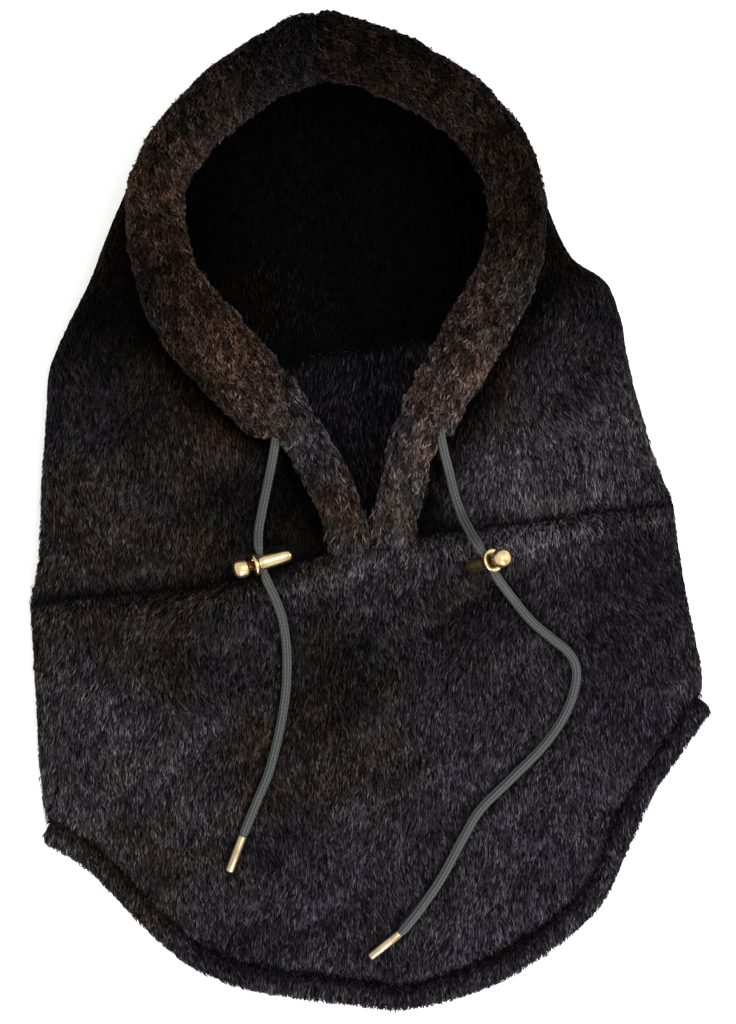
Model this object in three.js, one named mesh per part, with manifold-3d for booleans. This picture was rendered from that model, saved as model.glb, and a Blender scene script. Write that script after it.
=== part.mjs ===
// A plush-fleece hooded scarf that lies flat on its back: the crown towards +Y, the hem towards -Y, the front up.
// Millimetres, with the origin on the ground under the middle of the outline.

import * as THREE from 'three';
import { mergeVertices } from 'three/addons/utils/BufferGeometryUtils.js';
import Module from 'manifold-3d';

const wasm = await Module();
wasm.setup();

// Driving dimensions
const wall = 5;               // plush cloth with the pile of both faces
const gap = 0.3;              // left at every seam between two pieces
const foldReach = 20;         // how far in from the side fold the wall comes down to the ground
const roundness = 2.5;        // exponent of the front's cross section: 2 is an ellipse, more is flatter
const rollSink = 4.5;         // how far the underside of the face roll lies below the panel's edge
const hemWide = 6.5;          // half the width of the hem tube
const hemDeep = 5.3;          // half its height
const hemReach = 4;           // from the edge of the bib out to the middle of the hem tube
const hemFrontLift = 17.3;    // lowest height of the middle of the front hem
const hemBackLift = 5.6;      // height of the middle of the back hem
const cordWide = 5;
const neckWide = 3.2;         // the cord where it is squeezed in a lock or a tip
const cordSides = 10;
const rollSides = 12;
const hemSides = 8;
const crownX = -27;           // the centre seam at the crown
const yoke = 14;              // number of the station at the yoke seam
const hem = 19;               // number of the station at the hem

const table = (columns, rows) => rows.map((row) => Object.fromEntries(columns.map((name, i) => [name, row[i]])));

// Stations from the crown to the hem. front is where a line across the front starts: under the face roll on the hood,
// at the middle of the bib below it. shift is how far the roll lies off it, wide half the roll's width, side the
// side fold, bow the share of the hem's curve that the line has, back the line's end at the centre back.
const columns = ['frontX', 'frontY', 'frontZ', 'shift', 'wide', 'sideX', 'sideY', 'sideZ', 'bow', 'backX', 'backY'];
const left = {
  name: 'left',
  sign: -1,
  stations: table(columns, [
    [crownX, 231, 44, 0, 17.5, crownX, 240, 26, 0, crownX, 205],
    [-57, 215.5, 44, 0, 16.5, -63, 223, 26, 0, -26.5, 201],
    [-82, 196, 44, 0, 15.5, -90, 203, 25, 0, -26, 194],
    [-99.5, 174.5, 43, 0, 15, -110, 181, 24, 0, -25, 185],
    [-106.5, 154.5, 42, 0, 15, -120, 159, 22, 0, -24, 175],
    [-105, 132, 41, 0, 15.5, -130, 136, 20, 0, -23, 165],
    [-99, 111.5, 40, 0, 17, -138.5, 114, 18, 0, -21.5, 155],
    [-88.5, 94.5, 39, 0, 19, -150, 91, 16, 0, -20, 145],
    [-73.5, 77, 37.5, 0, 19.5, -158.5, 71, 15, 0, -18, 135],
    [-60, 62, 36, 0, 19, -160.5, 52, 14.5, 0, -16, 125],
    [-46, 46.5, 34.5, 0, 17.5, -161.5, 33, 14, 0, -14, 116],
    [-32.5, 33, 33, 0, 12.5, -163, 14, 13.5, 0.05, -12, 107],
    [-19, 17.5, 32, 3, 11.5, -163.5, -6, 13, 0.12, -9.5, 98],
    [-9, 3, 31, 6.5, 11, -164.5, -27, 13, 0.22, -7, 89],
    [0, -14, 30, 11, 10.5, -168, -48, 13, 0.35, -4, 80],
    [1, -55, 31, 11, 0, -167, -75, 12.5, 0.45, -2, 25],
    [3, -105, 30.5, 11, 0, -165.5, -100, 12, 0.58, 1, -35],
    [5, -155, 28.5, 11, 0, -164.5, -122, 12, 0.72, 3, -95],
    [8, -200, 25.5, 11, 0, -162.5, -142, 11.5, 0.86, 6, -160],
    [14, -240.5, 22.5, 11, 0, -160.5, -157, 11.5, 1, 12, -235],
  ]),
  hemCurve: table(['along', 'out'], [
    [0, 0], [0.07, 4.5], [0.17, 11], [0.35, 21.5], [0.5, 24.5], [0.57, 21.5], [0.71, 12.5], [0.85, 3], [1, 0],
  ]),
};
const right = {
  name: 'right',
  sign: 1,
  stations: table(columns, [
    [crownX, 231, 44, 0, 17.5, crownX, 240, 26, 0, crownX, 205],
    [1.5, 223.5, 44, 0, 17, 4.5, 232, 26, 0, -26.5, 201],
    [26, 212, 44, 0, 16.5, 30, 220, 25, 0, -26, 194],
    [48, 197.5, 43, 0, 16, 54, 205, 24, 0, -25, 185],
    [66, 175, 42, 0, 15.5, 75, 179, 22, 0, -24, 175],
    [72.5, 153.5, 41, 0, 15, 85, 155, 21, 0, -23, 165],
    [72.5, 134.5, 40, 0, 15, 98.5, 126, 19, 0, -21.5, 155],
    [68, 116.5, 39, 0, 16, 116, 113, 17, 0, -20, 145],
    [58.5, 98.5, 38, 0, 16.5, 123.5, 97, 16, 0, -18, 135],
    [49, 82, 37, 0, 16.5, 126.5, 80, 15, 0, -16, 125],
    [39.5, 65, 35.5, 0, 16, 130.5, 62, 14.5, 0, -14, 116],
    [30, 47.5, 34, 0, 15.5, 135, 46, 14, 0, -12, 107],
    [20, 31.5, 32.5, 1, 12, 139, 31, 13.5, 0, -9.5, 98],
    [11, 12, 31, 5.5, 11.5, 144, 17, 13, 0.03, -7, 89],
    [0, -14, 30, 11, 10.5, 150, 3, 13, 0.06, -4, 80],
    [1, -55, 31, 11, 0, 153, -19, 12.5, 0.2, -2, 25],
    [3, -105, 30.5, 11, 0, 156.5, -41, 12, 0.4, 1, -35],
    [5, -155, 28.5, 11, 0, 160.5, -61, 12, 0.6, 3, -95],
    [8, -200, 25.5, 11, 0, 164, -79, 11.5, 0.8, 6, -160],
    [14, -240.5, 22.5, 11, 0, 164.5, -94, 11.5, 1, 12, -235],
  ]),
  hemCurve: table(['along', 'out'], [
    [0, 0], [0.04, 6.5], [0.15, 18.5], [0.25, 26], [0.47, 31], [0.66, 16.5], [0.77, 8.5], [1, 0],
  ]),
};

// Soft folds of the front: a low hump or hollow each, with its middle, the turn of its long side from +X, its half
// length and half width, and how far it rises.
const folds = table(['x', 'y', 'turn', 'long', 'wide', 'rise'], [
  [-112, -54, -3, 62, 9, 4.5],
  [-60, -44, 20, 30, 9, 3],
  [-136, 62, 20, 24, 16, 3],
  [-122, 4, 60, 34, 18, 3.5],
  [-86, 22, -40, 34, 12, -3],
  [96, 30, 70, 40, 16, 3.5],
  [118, -14, 6, 44, 9, 3],
  [-22, -78, 75, 40, 13, -4.5],
  [-8, -128, 85, 30, 8, 3],
  [44, -84, 60, 42, 14, 2.5],
  [96, -96, 65, 40, 13, -2.5],
  [-100, -120, 80, 46, 18, 2.5],
  [-152, -100, 88, 52, 7, 2],
  [40, -190, 25, 50, 14, 2.5],
]);
const nape = { out: 28, above: 4.5, below: 1.9 };   // the back-neck seam bows up, and so less and less its neighbours
const yokeGroove = { deep: 6, above: 0.45, below: 0.13 };   // the pinch of the yoke seam, half widths in stations
const rollCrease = { deep: 8, wide: 9 };   // the valley in which the panel comes out from under the face roll

// Value of a column at a place between stations, on a cubic that passes through every row
function cubic(rows, key, place) {
  const i = Math.min(Math.max(Math.floor(place), 0), rows.length - 2);
  const t = place - i;
  const at = (k) => rows[Math.min(Math.max(k, 0), rows.length - 1)][key];
  const [a, b, c, d] = [at(i - 1), at(i), at(i + 1), at(i + 2)];
  return b + 0.5 * t * (c - a + t * (2 * a - 5 * b + 4 * c - d + t * (3 * (b - c) + d - a)));
}

// How far the hem bows out from the straight line between its middle and its side point, by straight steps eased
function hemBow(half, along) {
  const rows = half.hemCurve;
  const i = Math.min(rows.findLastIndex((row) => row.along <= along), rows.length - 2);
  const t = (along - rows[i].along) / (rows[i + 1].along - rows[i].along);
  return cubic(rows, 'out', i + t);
}

// The line across the front or the back of one station, seen from above: along runs from the middle to the side,
// and lift bows the line up towards the crown, most at a third of its length
function planLine(half, u, from, to, along, lift) {
  const length = Math.hypot(to.x - from.x, to.y - from.y);
  const x = (to.x - from.x) / length;
  const y = (to.y - from.y) / length;
  const out = cubic(half.stations, 'bow', u) * hemBow(half, along) - lift * 6.75 * along * (1 - along) ** 2;
  return new THREE.Vector2(
    from.x + x * length * along + half.sign * y * out,
    from.y + y * length * along - half.sign * x * out,
  );
}

function foldRise(x, y) {
  let rise = 0;
  for (const fold of folds) {
    const turn = THREE.MathUtils.degToRad(fold.turn);
    const along = (x - fold.x) * Math.cos(turn) + (y - fold.y) * Math.sin(turn);
    const across = (y - fold.y) * Math.cos(turn) - (x - fold.x) * Math.sin(turn);
    rise += fold.rise * Math.exp(-((along / fold.long) ** 2) - (across / fold.wide) ** 2);
  }
  return rise;
}

// Middle of the wall on the front: u is the station, s runs from the front line's start to the side fold
function frontPoint(half, u, s) {
  const value = (key) => cubic(half.stations, key, u);
  const front = new THREE.Vector2(value('frontX'), value('frontY'));
  const side = new THREE.Vector2(value('sideX'), value('sideY'));
  const plan = planLine(half, u, front, side, s, 0);
  const drop = (1 - s ** roundness) ** (1 / roundness);
  const calm = 1 - s ** 6;
  const groove = yokeGroove.deep * Math.exp(-(((u - yoke) / (u < yoke ? yokeGroove.above : yokeGroove.below)) ** 2));
  const length = front.distanceTo(side);
  const span = Math.min(length / 60, 1);
  const fromRoll = s * length - value('shift') - value('wide');
  const valley = Math.min(Math.max((yoke - u) / 0.7, 0), 1) * span;
  const crease = rollCrease.deep * valley * Math.exp(-((fromRoll / rollCrease.wide) ** 2));
  const rise = (foldRise(plan.x, plan.y) * span - groove - crease) * calm;
  return new THREE.Vector3(plan.x, plan.y, value('sideZ') + (value('frontZ') - value('sideZ')) * drop + rise);
}

// Middle of the wall under the side fold and along the ground: s runs from the side fold to the centre back
function backPoint(half, u, s) {
  const value = (key) => cubic(half.stations, key, u);
  const back = new THREE.Vector2(value('backX'), value('backY'));
  const side = new THREE.Vector2(value('sideX'), value('sideY'));
  const reach = Math.min(foldReach / back.distanceTo(side), 0.6);
  const turn = Math.min(s / 0.4, 1) * Math.PI / 2;
  const flat = Math.max(s - 0.4, 0) / 0.6;
  const inward = reach * (1 - Math.cos(turn)) + (1 - reach) * flat;
  const lift = nape.out * Math.exp(-(((u - yoke) / (u < yoke ? nape.above : nape.below)) ** 2));
  const plan = planLine(half, u, back, side, 1 - inward, lift);
  const high = value('sideZ');
  return new THREE.Vector3(plan.x, plan.y, high - (high - wall / 2) * Math.sin(turn));
}

// One point of the garment: w from 0 to 1 is the front, from 1 to 2 the back
const wallPoint = (half, u, w) => (w <= 1 ? frontPoint(half, u, w) : backPoint(half, u, w - 1));

// Outward normal of the wall, from points close by on either side
function wallNormal(half, u, w, crossesMiddle) {
  const step = 0.02;
  const low = u - step < 0 ? u : u - step;
  const high = u + step > hem ? u : u + step;
  const down = wallPoint(half, high, w).sub(wallPoint(half, low, w));
  let before = wallPoint(half, u, Math.max(w - step, 0));
  if (crossesMiddle && w < step) before = wallPoint(half === left ? right : left, u, step);
  const after = wallPoint(half, u, Math.min(w + step, 2));
  const normal = after.sub(before).cross(down).multiplyScalar(half.sign);
  if (u === 0) normal.x = 0;
  return normal.normalize();
}

// Places across the front, from the roll or the middle to the side fold, closer together near the fold
const acrossFront = (u, half, count) => {
  const value = (key) => cubic(half.stations, key, u);
  const span = Math.hypot(value('sideX') - value('frontX'), value('sideY') - value('frontY'));
  const first = Math.max(value('shift'), 0) / span;
  return Array.from({ length: count + 1 }, (_, i) => first + (1 - first) * (1 - (1 - i / count) ** 1.7));
};
const acrossBack = [0.13, 0.26, 0.4, 0.55, 0.7, 0.85, 1].map((s) => 1 + s);

// A closed body from its corners and faces, turned so that the faces point outwards
function body(points, faces) {
  let volume = 0;
  for (const [a, b, c] of faces) {
    volume += points[a].dot(points[b].clone().cross(points[c]));
  }
  const geometry = new THREE.BufferGeometry();
  geometry.setAttribute('position', new THREE.Float32BufferAttribute(points.flatMap((p) => p.toArray()), 3));
  geometry.setIndex(faces.flatMap(([a, b, c]) => (volume > 0 ? [a, b, c] : [a, c, b])));
  return geometry;
}

// A wall around a grid of middle points, half its thickness to each side along their normals
function wallBody(grid) {
  const rows = grid.length;
  const cols = grid[0].length;
  const face = (side) => grid.flat().map(({ point, normal }) => point.clone().addScaledVector(normal, side * wall / 2));
  const points = [...face(1), ...face(-1)];
  const outer = (i, j) => i * cols + j;
  const inner = (i, j) => rows * cols + i * cols + j;
  const faces = [];
  const quad = (a, b, c, d) => faces.push([a, b, c], [a, c, d]);
  for (let i = 0; i < rows - 1; i++) {
    for (let j = 0; j < cols - 1; j++) {
      quad(outer(i, j), outer(i, j + 1), outer(i + 1, j + 1), outer(i + 1, j));
      quad(inner(i, j), inner(i + 1, j), inner(i + 1, j + 1), inner(i, j + 1));
    }
    quad(outer(i, 0), outer(i + 1, 0), inner(i + 1, 0), inner(i, 0));
    quad(outer(i + 1, cols - 1), outer(i, cols - 1), inner(i, cols - 1), inner(i + 1, cols - 1));
  }
  // The end faces at the seams are twisted, so each quad has a corner in its middle and meets its neighbour's evenly
  const endQuad = (...corners) => {
    const middle = corners.reduce((sum, k) => sum.add(points[k]), new THREE.Vector3()).multiplyScalar(1 / 4);
    points.push(middle);
    corners.forEach((k, i) => faces.push([k, corners[(i + 1) % 4], points.length - 1]));
  };
  for (let j = 0; j < cols - 1; j++) {
    endQuad(outer(0, j + 1), outer(0, j), inner(0, j), inner(0, j + 1));
    endQuad(outer(rows - 1, j), outer(rows - 1, j + 1), inner(rows - 1, j + 1), inner(rows - 1, j));
  }
  return body(points, faces);
}

// A row of a panel at one station. inset moves it back from a seam along the garment.
function wallRow(half, u, places, inset, crossesMiddle) {
  return places.map((w) => {
    const point = wallPoint(half, u, w);
    const normal = wallNormal(half, u, w, crossesMiddle);
    if (inset !== 0) {
      const down = wallPoint(half, u + 0.02, w).sub(wallPoint(half, u - 0.02, w)).normalize();
      point.addScaledVector(down, inset);
    }
    return { point, normal };
  });
}

const frontCount = 9;
const hoodStations = [0, 1, 2, 3, 4, 5, 6, 7, 8, 9, 10, 11, 12, 13, 13.5, 13.8, yoke];
const bibStations = [yoke, 14.15, 14.35, 14.7, 15, 15.5, 16, 16.5, 17, 17.5, 18, 18.5, hem];
const backStations = [yoke, 14.5, 15, 16, 17, 18, hem];

function hoodPanel(half) {
  const grid = hoodStations.map((u) => {
    const places = [...acrossFront(u, half, frontCount), ...acrossBack];
    const row = wallRow(half, u, places, u === yoke ? -gap / 2 : 0, false);
    row.at(-1).point.x += half.sign * gap / 2;
    if (u === 0) row.slice(0, -1).forEach(({ point }) => { point.x += half.sign * gap / 2; });
    return row;
  });
  return wallBody(grid);
}

function frontBib() {
  const grid = bibStations.map((u) => {
    const inset = u === yoke ? gap / 2 : 0;
    const rows = [left, right].map((half) => {
      const row = wallRow(half, u, acrossFront(yoke, half, frontCount), inset, true);
      row.at(-1).point.z += gap / 2;
      return row;
    });
    const middle = wallRow(left, u, [0], inset, true);
    return [...rows[0].reverse(), ...middle, ...rows[1]];
  });
  return wallBody(grid);
}

function backBib() {
  const grid = backStations.map((u) => {
    const inset = u === yoke ? gap / 2 : 0;
    const rows = [left, right].map((half) => {
      const row = wallRow(half, u, [1, ...acrossBack], inset, false);
      row[0].point.z -= gap / 2;
      return row;
    });
    return [...rows[0], ...rows[1].reverse().slice(1)];
  });
  return wallBody(grid);
}

// A tube with its own oval section at each step of a path; steps hold a centre, the direction across and the half sizes
function ovalTube(steps, sides, swell) {
  const points = steps.flatMap(({ centre, across, wide, deep }) => Array.from({ length: sides }, (_, k) => {
    const turn = (k + 0.5) * 2 * Math.PI / sides;
    const out = across.clone().multiplyScalar((wide + swell) * Math.cos(turn));
    return out.add(centre).add(new THREE.Vector3(0, 0, (deep + swell) * Math.sin(turn)));
  }));
  const faces = [];
  for (let i = 0; i < steps.length - 1; i++) {
    for (let k = 0; k < sides; k++) {
      const [a, b] = [i * sides + k, i * sides + (k + 1) % sides];
      faces.push([a, b, b + sides], [a, b + sides, a + sides]);
    }
  }
  const last = (steps.length - 1) * sides;
  for (let k = 1; k < sides - 1; k++) {
    faces.push([0, k + 1, k], [last, last + k, last + k + 1]);
  }
  return body(points, faces);
}

// Level direction across a path at each of its points, to the left of the way it runs
function acrossPath(centres, i) {
  const ahead = centres[Math.min(i + 1, centres.length - 1)];
  const behind = centres[Math.max(i - 1, 0)];
  return new THREE.Vector3(behind.y - ahead.y, ahead.x - behind.x, 0).normalize();
}

// One half of the padded cord channel round the face, from the top seam down to the throat
function rollHalf(half, swell) {
  const places = Array.from({ length: 2 * yoke + 1 }, (_, i) => i / 2);
  const value = (key, u) => cubic(half.stations, key, u);
  const tuck = (u) => 1 - 0.5 * THREE.MathUtils.smoothstep(u, yoke - 1.2, yoke);
  const deepAt = (u) => Math.min(Math.max(0.78 * value('wide', u), 9), 13) * tuck(u);
  const centres = places.map((u) => {
    const point = frontPoint(half, u, acrossFront(u, half, 1)[0]);
    point.z = value('frontZ', u) + deepAt(u) - rollSink;
    return point;
  });
  const steps = centres.map((centre, i) => ({
    centre,
    across: i === 0 ? new THREE.Vector3(0, half.sign, 0) : acrossPath(centres, i),
    wide: value('wide', Math.min(places[i], yoke - 0.01)),
    deep: deepAt(places[i]),
  }));
  steps[0].centre.x += half.sign * (gap / 2 - swell);
  return ovalTube(steps, rollSides, swell);
}

// One half of the tubular hem, front or back, from one side point round to the other
function hemHalf(pointAt, high, swell) {
  const places = [1, 0.94, 0.87, 0.79, 0.72, 0.64, 0.57, 0.5, 0.42, 0.34, 0.25, 0.16, 0.07];
  const edge = [
    ...places.map((s) => pointAt(left, s)),
    pointAt(left, 0),
    ...places.toReversed().map((s) => pointAt(right, s)),
  ];
  const steps = edge.map((point, i) => {
    const across = acrossPath(edge, i);
    const centre = point.clone().addScaledVector(across, -hemReach);
    centre.z = high(point.z);
    return { centre, across, wide: hemWide, deep: hemDeep };
  });
  return ovalTube(steps, hemSides, swell);
}
const frontHem = (swell) => hemHalf((half, s) => frontPoint(half, hem, s), (z) => Math.max(z, hemFrontLift), swell);
const backHem = (swell) => hemHalf((half, s) => backPoint(half, hem, 1 - s), () => hemBackLift, swell);

// Solids for joining and cutting
function solid(geometry) {
  const bare = geometry.clone();
  bare.deleteAttribute('normal');
  bare.deleteAttribute('uv');
  const merged = mergeVertices(bare, 1e-4);
  return new wasm.Manifold(new wasm.Mesh({
    numProp: 3,
    vertProperties: new Float32Array(merged.attributes.position.array),
    triVerts: new Uint32Array(merged.index.array),
  }));
}

function geometryOf(shape) {
  const mesh = shape.getMesh();
  const geometry = new THREE.BufferGeometry();
  geometry.setAttribute('position', new THREE.BufferAttribute(new Float32Array(mesh.vertProperties), 3));
  geometry.setIndex(new THREE.BufferAttribute(new Uint32Array(mesh.triVerts), 1));
  return geometry;
}

// The first solid without the others, as its largest remaining body
function cut(geometry, ...tools) {
  const rest = tools.reduce((shape, tool) => shape.subtract(tool), solid(geometry));
  const pieces = rest.decompose().sort((a, b) => b.volume() - a.volume());
  return pieces[0];
}

// Cords: the middle of each along its visible length, from inside the roll down to the cord tip
const points = (rows) => rows.map((row) => new THREE.Vector3(...row));
const cordRoutes = {
  left: {
    upper: points([
      [-45, 47, 47.4], [-45.9, 41, 45.9], [-46.8, 35, 44.4], [-47.7, 29, 42.7], [-49.4, 20.5, 37.4], [-52, 8, 36.4],
      [-54.4, -4, 36.4], [-55.6, -12, 37.2], [-55.3, -20.5, 39.4],
    ]),
    lower: points([
      [-52.3, -32.9, 39.4], [-50.2, -38, 38.5], [-46.6, -46, 37.7], [-43.4, -56, 37.1], [-41.6, -70, 36.2],
      [-41.8, -88, 35.1], [-44.4, -107, 35], [-50, -130, 34.8], [-56.5, -146, 34.2], [-63.2, -162.5, 33.1],
    ]),
    tip: points([[-63.2, -162.5, 33.1], [-70.6, -182, 31.1]]),
  },
  right: {
    upper: points([
      [32.8, 48, 47.2], [34, 42, 45.4], [35.2, 36, 43.6], [37, 28, 40.2], [39.4, 19, 35.8], [42, 8, 34.3],
      [45.8, -3, 35.2], [50.3, -12, 42], [54.7, -19.5, 48],
    ]),
    lower: points([
      [62.5, -32.9, 45], [66.8, -39, 40.8], [71.8, -45.4, 37], [80, -55.4, 35.5], [90, -64, 34.4], [99, -71.5, 33],
      [103, -80, 32.2], [101.6, -92, 31.7], [95.5, -106, 31.6], [85, -120, 32.9], [69, -136, 33.2],
      [55, -150, 33.5], [46, -165, 33.3], [36, -183.5, 33.2], [25.5, -199, 33], [15.5, -211.5, 31.2],
    ]),
    tip: points([[15.5, -211.5, 31.2], [-0.5, -224.5, 29.2]]),
  },
};

// Spring cord lock, along its axis from the top of the press head: the cord crosses at lockCross
const lockCross = 15;
const lockTravel = 3;
const lockBore = 3;
const lockBoreEnd = 22.2;
const plungerWide = 2.7;
const crossHole = neckWide / 2 + gap;
const barrelProfile = table(['r', 't'], [
  [lockBore, 10.6], [5.6, 10.4], [5.9, 10.9], [5.8, 11.7], [4.7, 12.8], [4.3, 13.2], [4.15, 16], [3.6, 26],
  [3.4, 29], [2.5, 30.4], [0, 31], [0, lockBoreEnd], [lockBore, lockBoreEnd], [lockBore, 10.6],
]);
const buttonProfile = table(['r', 't'], [
  [0, 0], [2, 0.25], [3.5, 1.2], [4.3, 2.8], [4.3, 4.6], [3.6, 6.1], [plungerWide, 7.4], [plungerWide, 18.6], [0, 18.6],
]);
const lockSides = 12;
const locks = {
  left: { cross: new THREE.Vector3(-53.8, -26.7, 39.4), towardsTip: new THREE.Vector3(0.935, 0.268, -0.225) },
  right: { cross: new THREE.Vector3(58.6, -26.2, 46.5), towardsTip: new THREE.Vector3(-0.617, -0.18, -0.766) },
};

// Turns a shape made along +Y from the press head, so that it stands in its lock
function inLock(geometry, lock) {
  const turn = new THREE.Quaternion().setFromUnitVectors(new THREE.Vector3(0, 1, 0), lock.towardsTip);
  geometry.applyQuaternion(turn);
  const head = lock.cross.clone().addScaledVector(lock.towardsTip, -lockCross);
  return geometry.translate(head.x, head.y, head.z);
}

const lathe = (profile, sides) => new THREE.LatheGeometry(profile.map(({ r, t }) => new THREE.Vector2(r, t)), sides);

// A rod of round section between two points
function rod(from, to, radius, sides) {
  const way = to.clone().sub(from);
  const geometry = new THREE.CylinderGeometry(radius, radius, way.length(), sides);
  geometry.applyQuaternion(new THREE.Quaternion().setFromUnitVectors(new THREE.Vector3(0, 1, 0), way.normalize()));
  const middle = from.clone().add(to).multiplyScalar(0.5);
  return geometry.translate(middle.x, middle.y, middle.z);
}

function lockParts(lock, route) {
  const from = route.upper.at(-1);
  const to = route.lower[0];
  const barrel = cut(inLock(lathe(barrelProfile, lockSides), lock), solid(rod(from, to, crossHole, lockSides)));
  const slotWay = to.clone().sub(from).normalize();
  const slotEnds = [0, 1, 2, 3].map((i) => {
    const shift = lock.towardsTip.clone().multiplyScalar(-i * lockTravel / 3);
    return solid(rod(from.clone().add(shift), to.clone().add(shift), crossHole, lockSides));
  });
  const slot = slotEnds.reduce((shape, end) => shape.add(end));
  const middle = lock.cross.clone().addScaledVector(lock.towardsTip, -lockTravel / 2);
  const slab = new THREE.BoxGeometry(2 * crossHole, lockTravel, 30);
  const frame = new THREE.Matrix4().makeBasis(
    new THREE.Vector3().crossVectors(lock.towardsTip, slotWay), lock.towardsTip, slotWay);
  slab.applyMatrix4(frame).translate(middle.x, middle.y, middle.z);
  const button = cut(inLock(lathe(buttonProfile, lockSides), lock), slot.add(solid(slab)));
  return { barrel: geometryOf(barrel), button: geometryOf(button) };
}

// A stretch of cord along a smooth curve through its points
function cordStretch(route, wide) {
  const curve = new THREE.CatmullRomCurve3(route);
  const section = new THREE.Shape(Array.from({ length: cordSides }, (_, k) => {
    const turn = k * 2 * Math.PI / cordSides;
    return new THREE.Vector2(Math.cos(turn), Math.sin(turn)).multiplyScalar(wide / 2);
  }));
  const steps = Math.max(Math.round(curve.getLength() / (2.4 * cordWide)), 2);
  return new THREE.ExtrudeGeometry(section, { steps, extrudePath: curve, bevelEnabled: false });
}

const tipLength = 20;
const tipWide = 4.4;
const tipBore = neckWide + 2 * gap;
const tipSocket = 7;
const tipMouth = 0.8;         // the cord's end turns a little into its tip, so the tip starts this far on

// The whole cord: two full stretches, squeezed where they pass the lock and where the end sits in its metal tip
function cordBody(route) {
  const across = route.lower[0].clone().sub(route.upper.at(-1)).normalize();
  const into = route.upper.at(-1).clone().sub(across);
  const outOf = route.lower[0].clone().add(across);
  const neck = solid(rod(into, outOf, neckWide / 2, cordSides));
  const [start, end] = route.tip;
  const way = end.clone().sub(start).normalize();
  const back = start.clone().addScaledVector(way, -1);
  const inTip = solid(rod(back, start.clone().addScaledVector(way, tipSocket - gap), neckWide / 2, cordSides));
  const parts = [solid(cordStretch(route.upper, cordWide)), neck, solid(cordStretch(route.lower, cordWide)), inTip];
  return geometryOf(parts.reduce((shape, part) => shape.add(part)));
}

function cordTip(route) {
  const [start, end] = route.tip;
  const way = end.clone().sub(start).normalize();
  const profile = table(['r', 't'], [
    [tipBore / 2, tipMouth], [tipWide / 2, tipMouth], [tipWide / 2, tipLength - 0.8], [tipWide / 2 - 0.6, tipLength],
    [0, tipLength], [0, tipSocket], [tipBore / 2, tipSocket], [tipBore / 2, tipMouth],
  ]);
  const geometry = lathe(profile, 12);
  geometry.applyQuaternion(new THREE.Quaternion().setFromUnitVectors(new THREE.Vector3(0, 1, 0), way));
  return geometry.translate(start.x, start.y, start.z);
}

// Materials
const plush = new THREE.MeshStandardMaterial({ color: 0x2c272b, roughness: 0.95, metalness: 0 });
const braid = new THREE.MeshStandardMaterial({ color: 0x4c504d, roughness: 0.8, metalness: 0 });
const paleGold = new THREE.MeshStandardMaterial({ color: 0xc9b483, roughness: 0.2, metalness: 1 });

const scarf = new THREE.Group();
function add(name, geometry, material) {
  const mesh = new THREE.Mesh(geometry, material);
  mesh.name = name;
  scarf.add(mesh);
}

// Face roll: the right half gives way to the left one in the throat, and each has an eyelet for its cord
const eyelet = ({ upper }) => {
  const behind = upper[0].clone().sub(upper[1]).normalize().add(upper[0]);
  const blindEnd = solid(rod(behind, upper[1], cordWide / 2 + gap, cordSides));
  return solid(cordStretch(upper, cordWide + 2.5 * gap)).add(blindEnd);
};
const swollen = { left: solid(rollHalf(left, gap)), right: solid(rollHalf(right, gap)) };
add('roll_left', geometryOf(cut(rollHalf(left, 0), eyelet(cordRoutes.left))), plush);
add('roll_right', geometryOf(cut(rollHalf(right, 0), swollen.left, eyelet(cordRoutes.right))), plush);
add('hood_left', geometryOf(cut(hoodPanel(left), swollen.left, swollen.right)), plush);
add('hood_right', geometryOf(cut(hoodPanel(right), swollen.left, swollen.right)), plush);

const swollenHem = [solid(frontHem(gap)), solid(backHem(gap))];
add('front_bib', geometryOf(cut(frontBib(), swollen.left, swollen.right, ...swollenHem)), plush);
add('back_bib', geometryOf(cut(backBib(), ...swollenHem)), plush);
add('hem_front', frontHem(0), plush);
add('hem_back', geometryOf(cut(backHem(0), swollenHem[0])), plush);

for (const side of ['left', 'right']) {
  const route = cordRoutes[side];
  const { barrel, button } = lockParts(locks[side], route);
  add(`drawcord_${side}`, cordBody(route), braid);
  add(`toggle_${side}_barrel`, barrel, paleGold);
  add(`toggle_${side}_button`, button, paleGold);
  add(`aglet_${side}`, cordTip(route), paleGold);
}

export default scarf;
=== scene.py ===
import math

import bpy
import numpy as np
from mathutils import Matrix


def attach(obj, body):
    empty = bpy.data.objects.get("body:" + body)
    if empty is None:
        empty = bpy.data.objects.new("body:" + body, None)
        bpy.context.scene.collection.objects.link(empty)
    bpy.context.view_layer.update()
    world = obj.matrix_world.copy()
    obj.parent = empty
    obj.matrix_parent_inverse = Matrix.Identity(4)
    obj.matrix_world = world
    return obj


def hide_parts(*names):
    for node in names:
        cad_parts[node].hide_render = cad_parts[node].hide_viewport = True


# A plush-fleece hooded scarf lying flat on its back. Shapes are worked out in millimetres and put into metres
# when a mesh is made. The crown is towards +Y, the hem towards -Y, the front up.
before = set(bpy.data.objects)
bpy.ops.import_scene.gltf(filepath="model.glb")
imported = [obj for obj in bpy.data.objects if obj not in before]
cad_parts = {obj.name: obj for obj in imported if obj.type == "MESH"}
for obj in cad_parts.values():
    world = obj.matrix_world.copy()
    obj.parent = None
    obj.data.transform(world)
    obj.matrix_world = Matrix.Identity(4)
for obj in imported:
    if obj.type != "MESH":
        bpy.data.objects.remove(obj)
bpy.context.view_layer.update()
scene = bpy.context.scene
millimetre = 0.001
draws = np.random.default_rng(41)


def addObject(name, data):
    thing = bpy.data.objects.new(name, data)
    scene.collection.objects.link(thing)
    return thing


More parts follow.
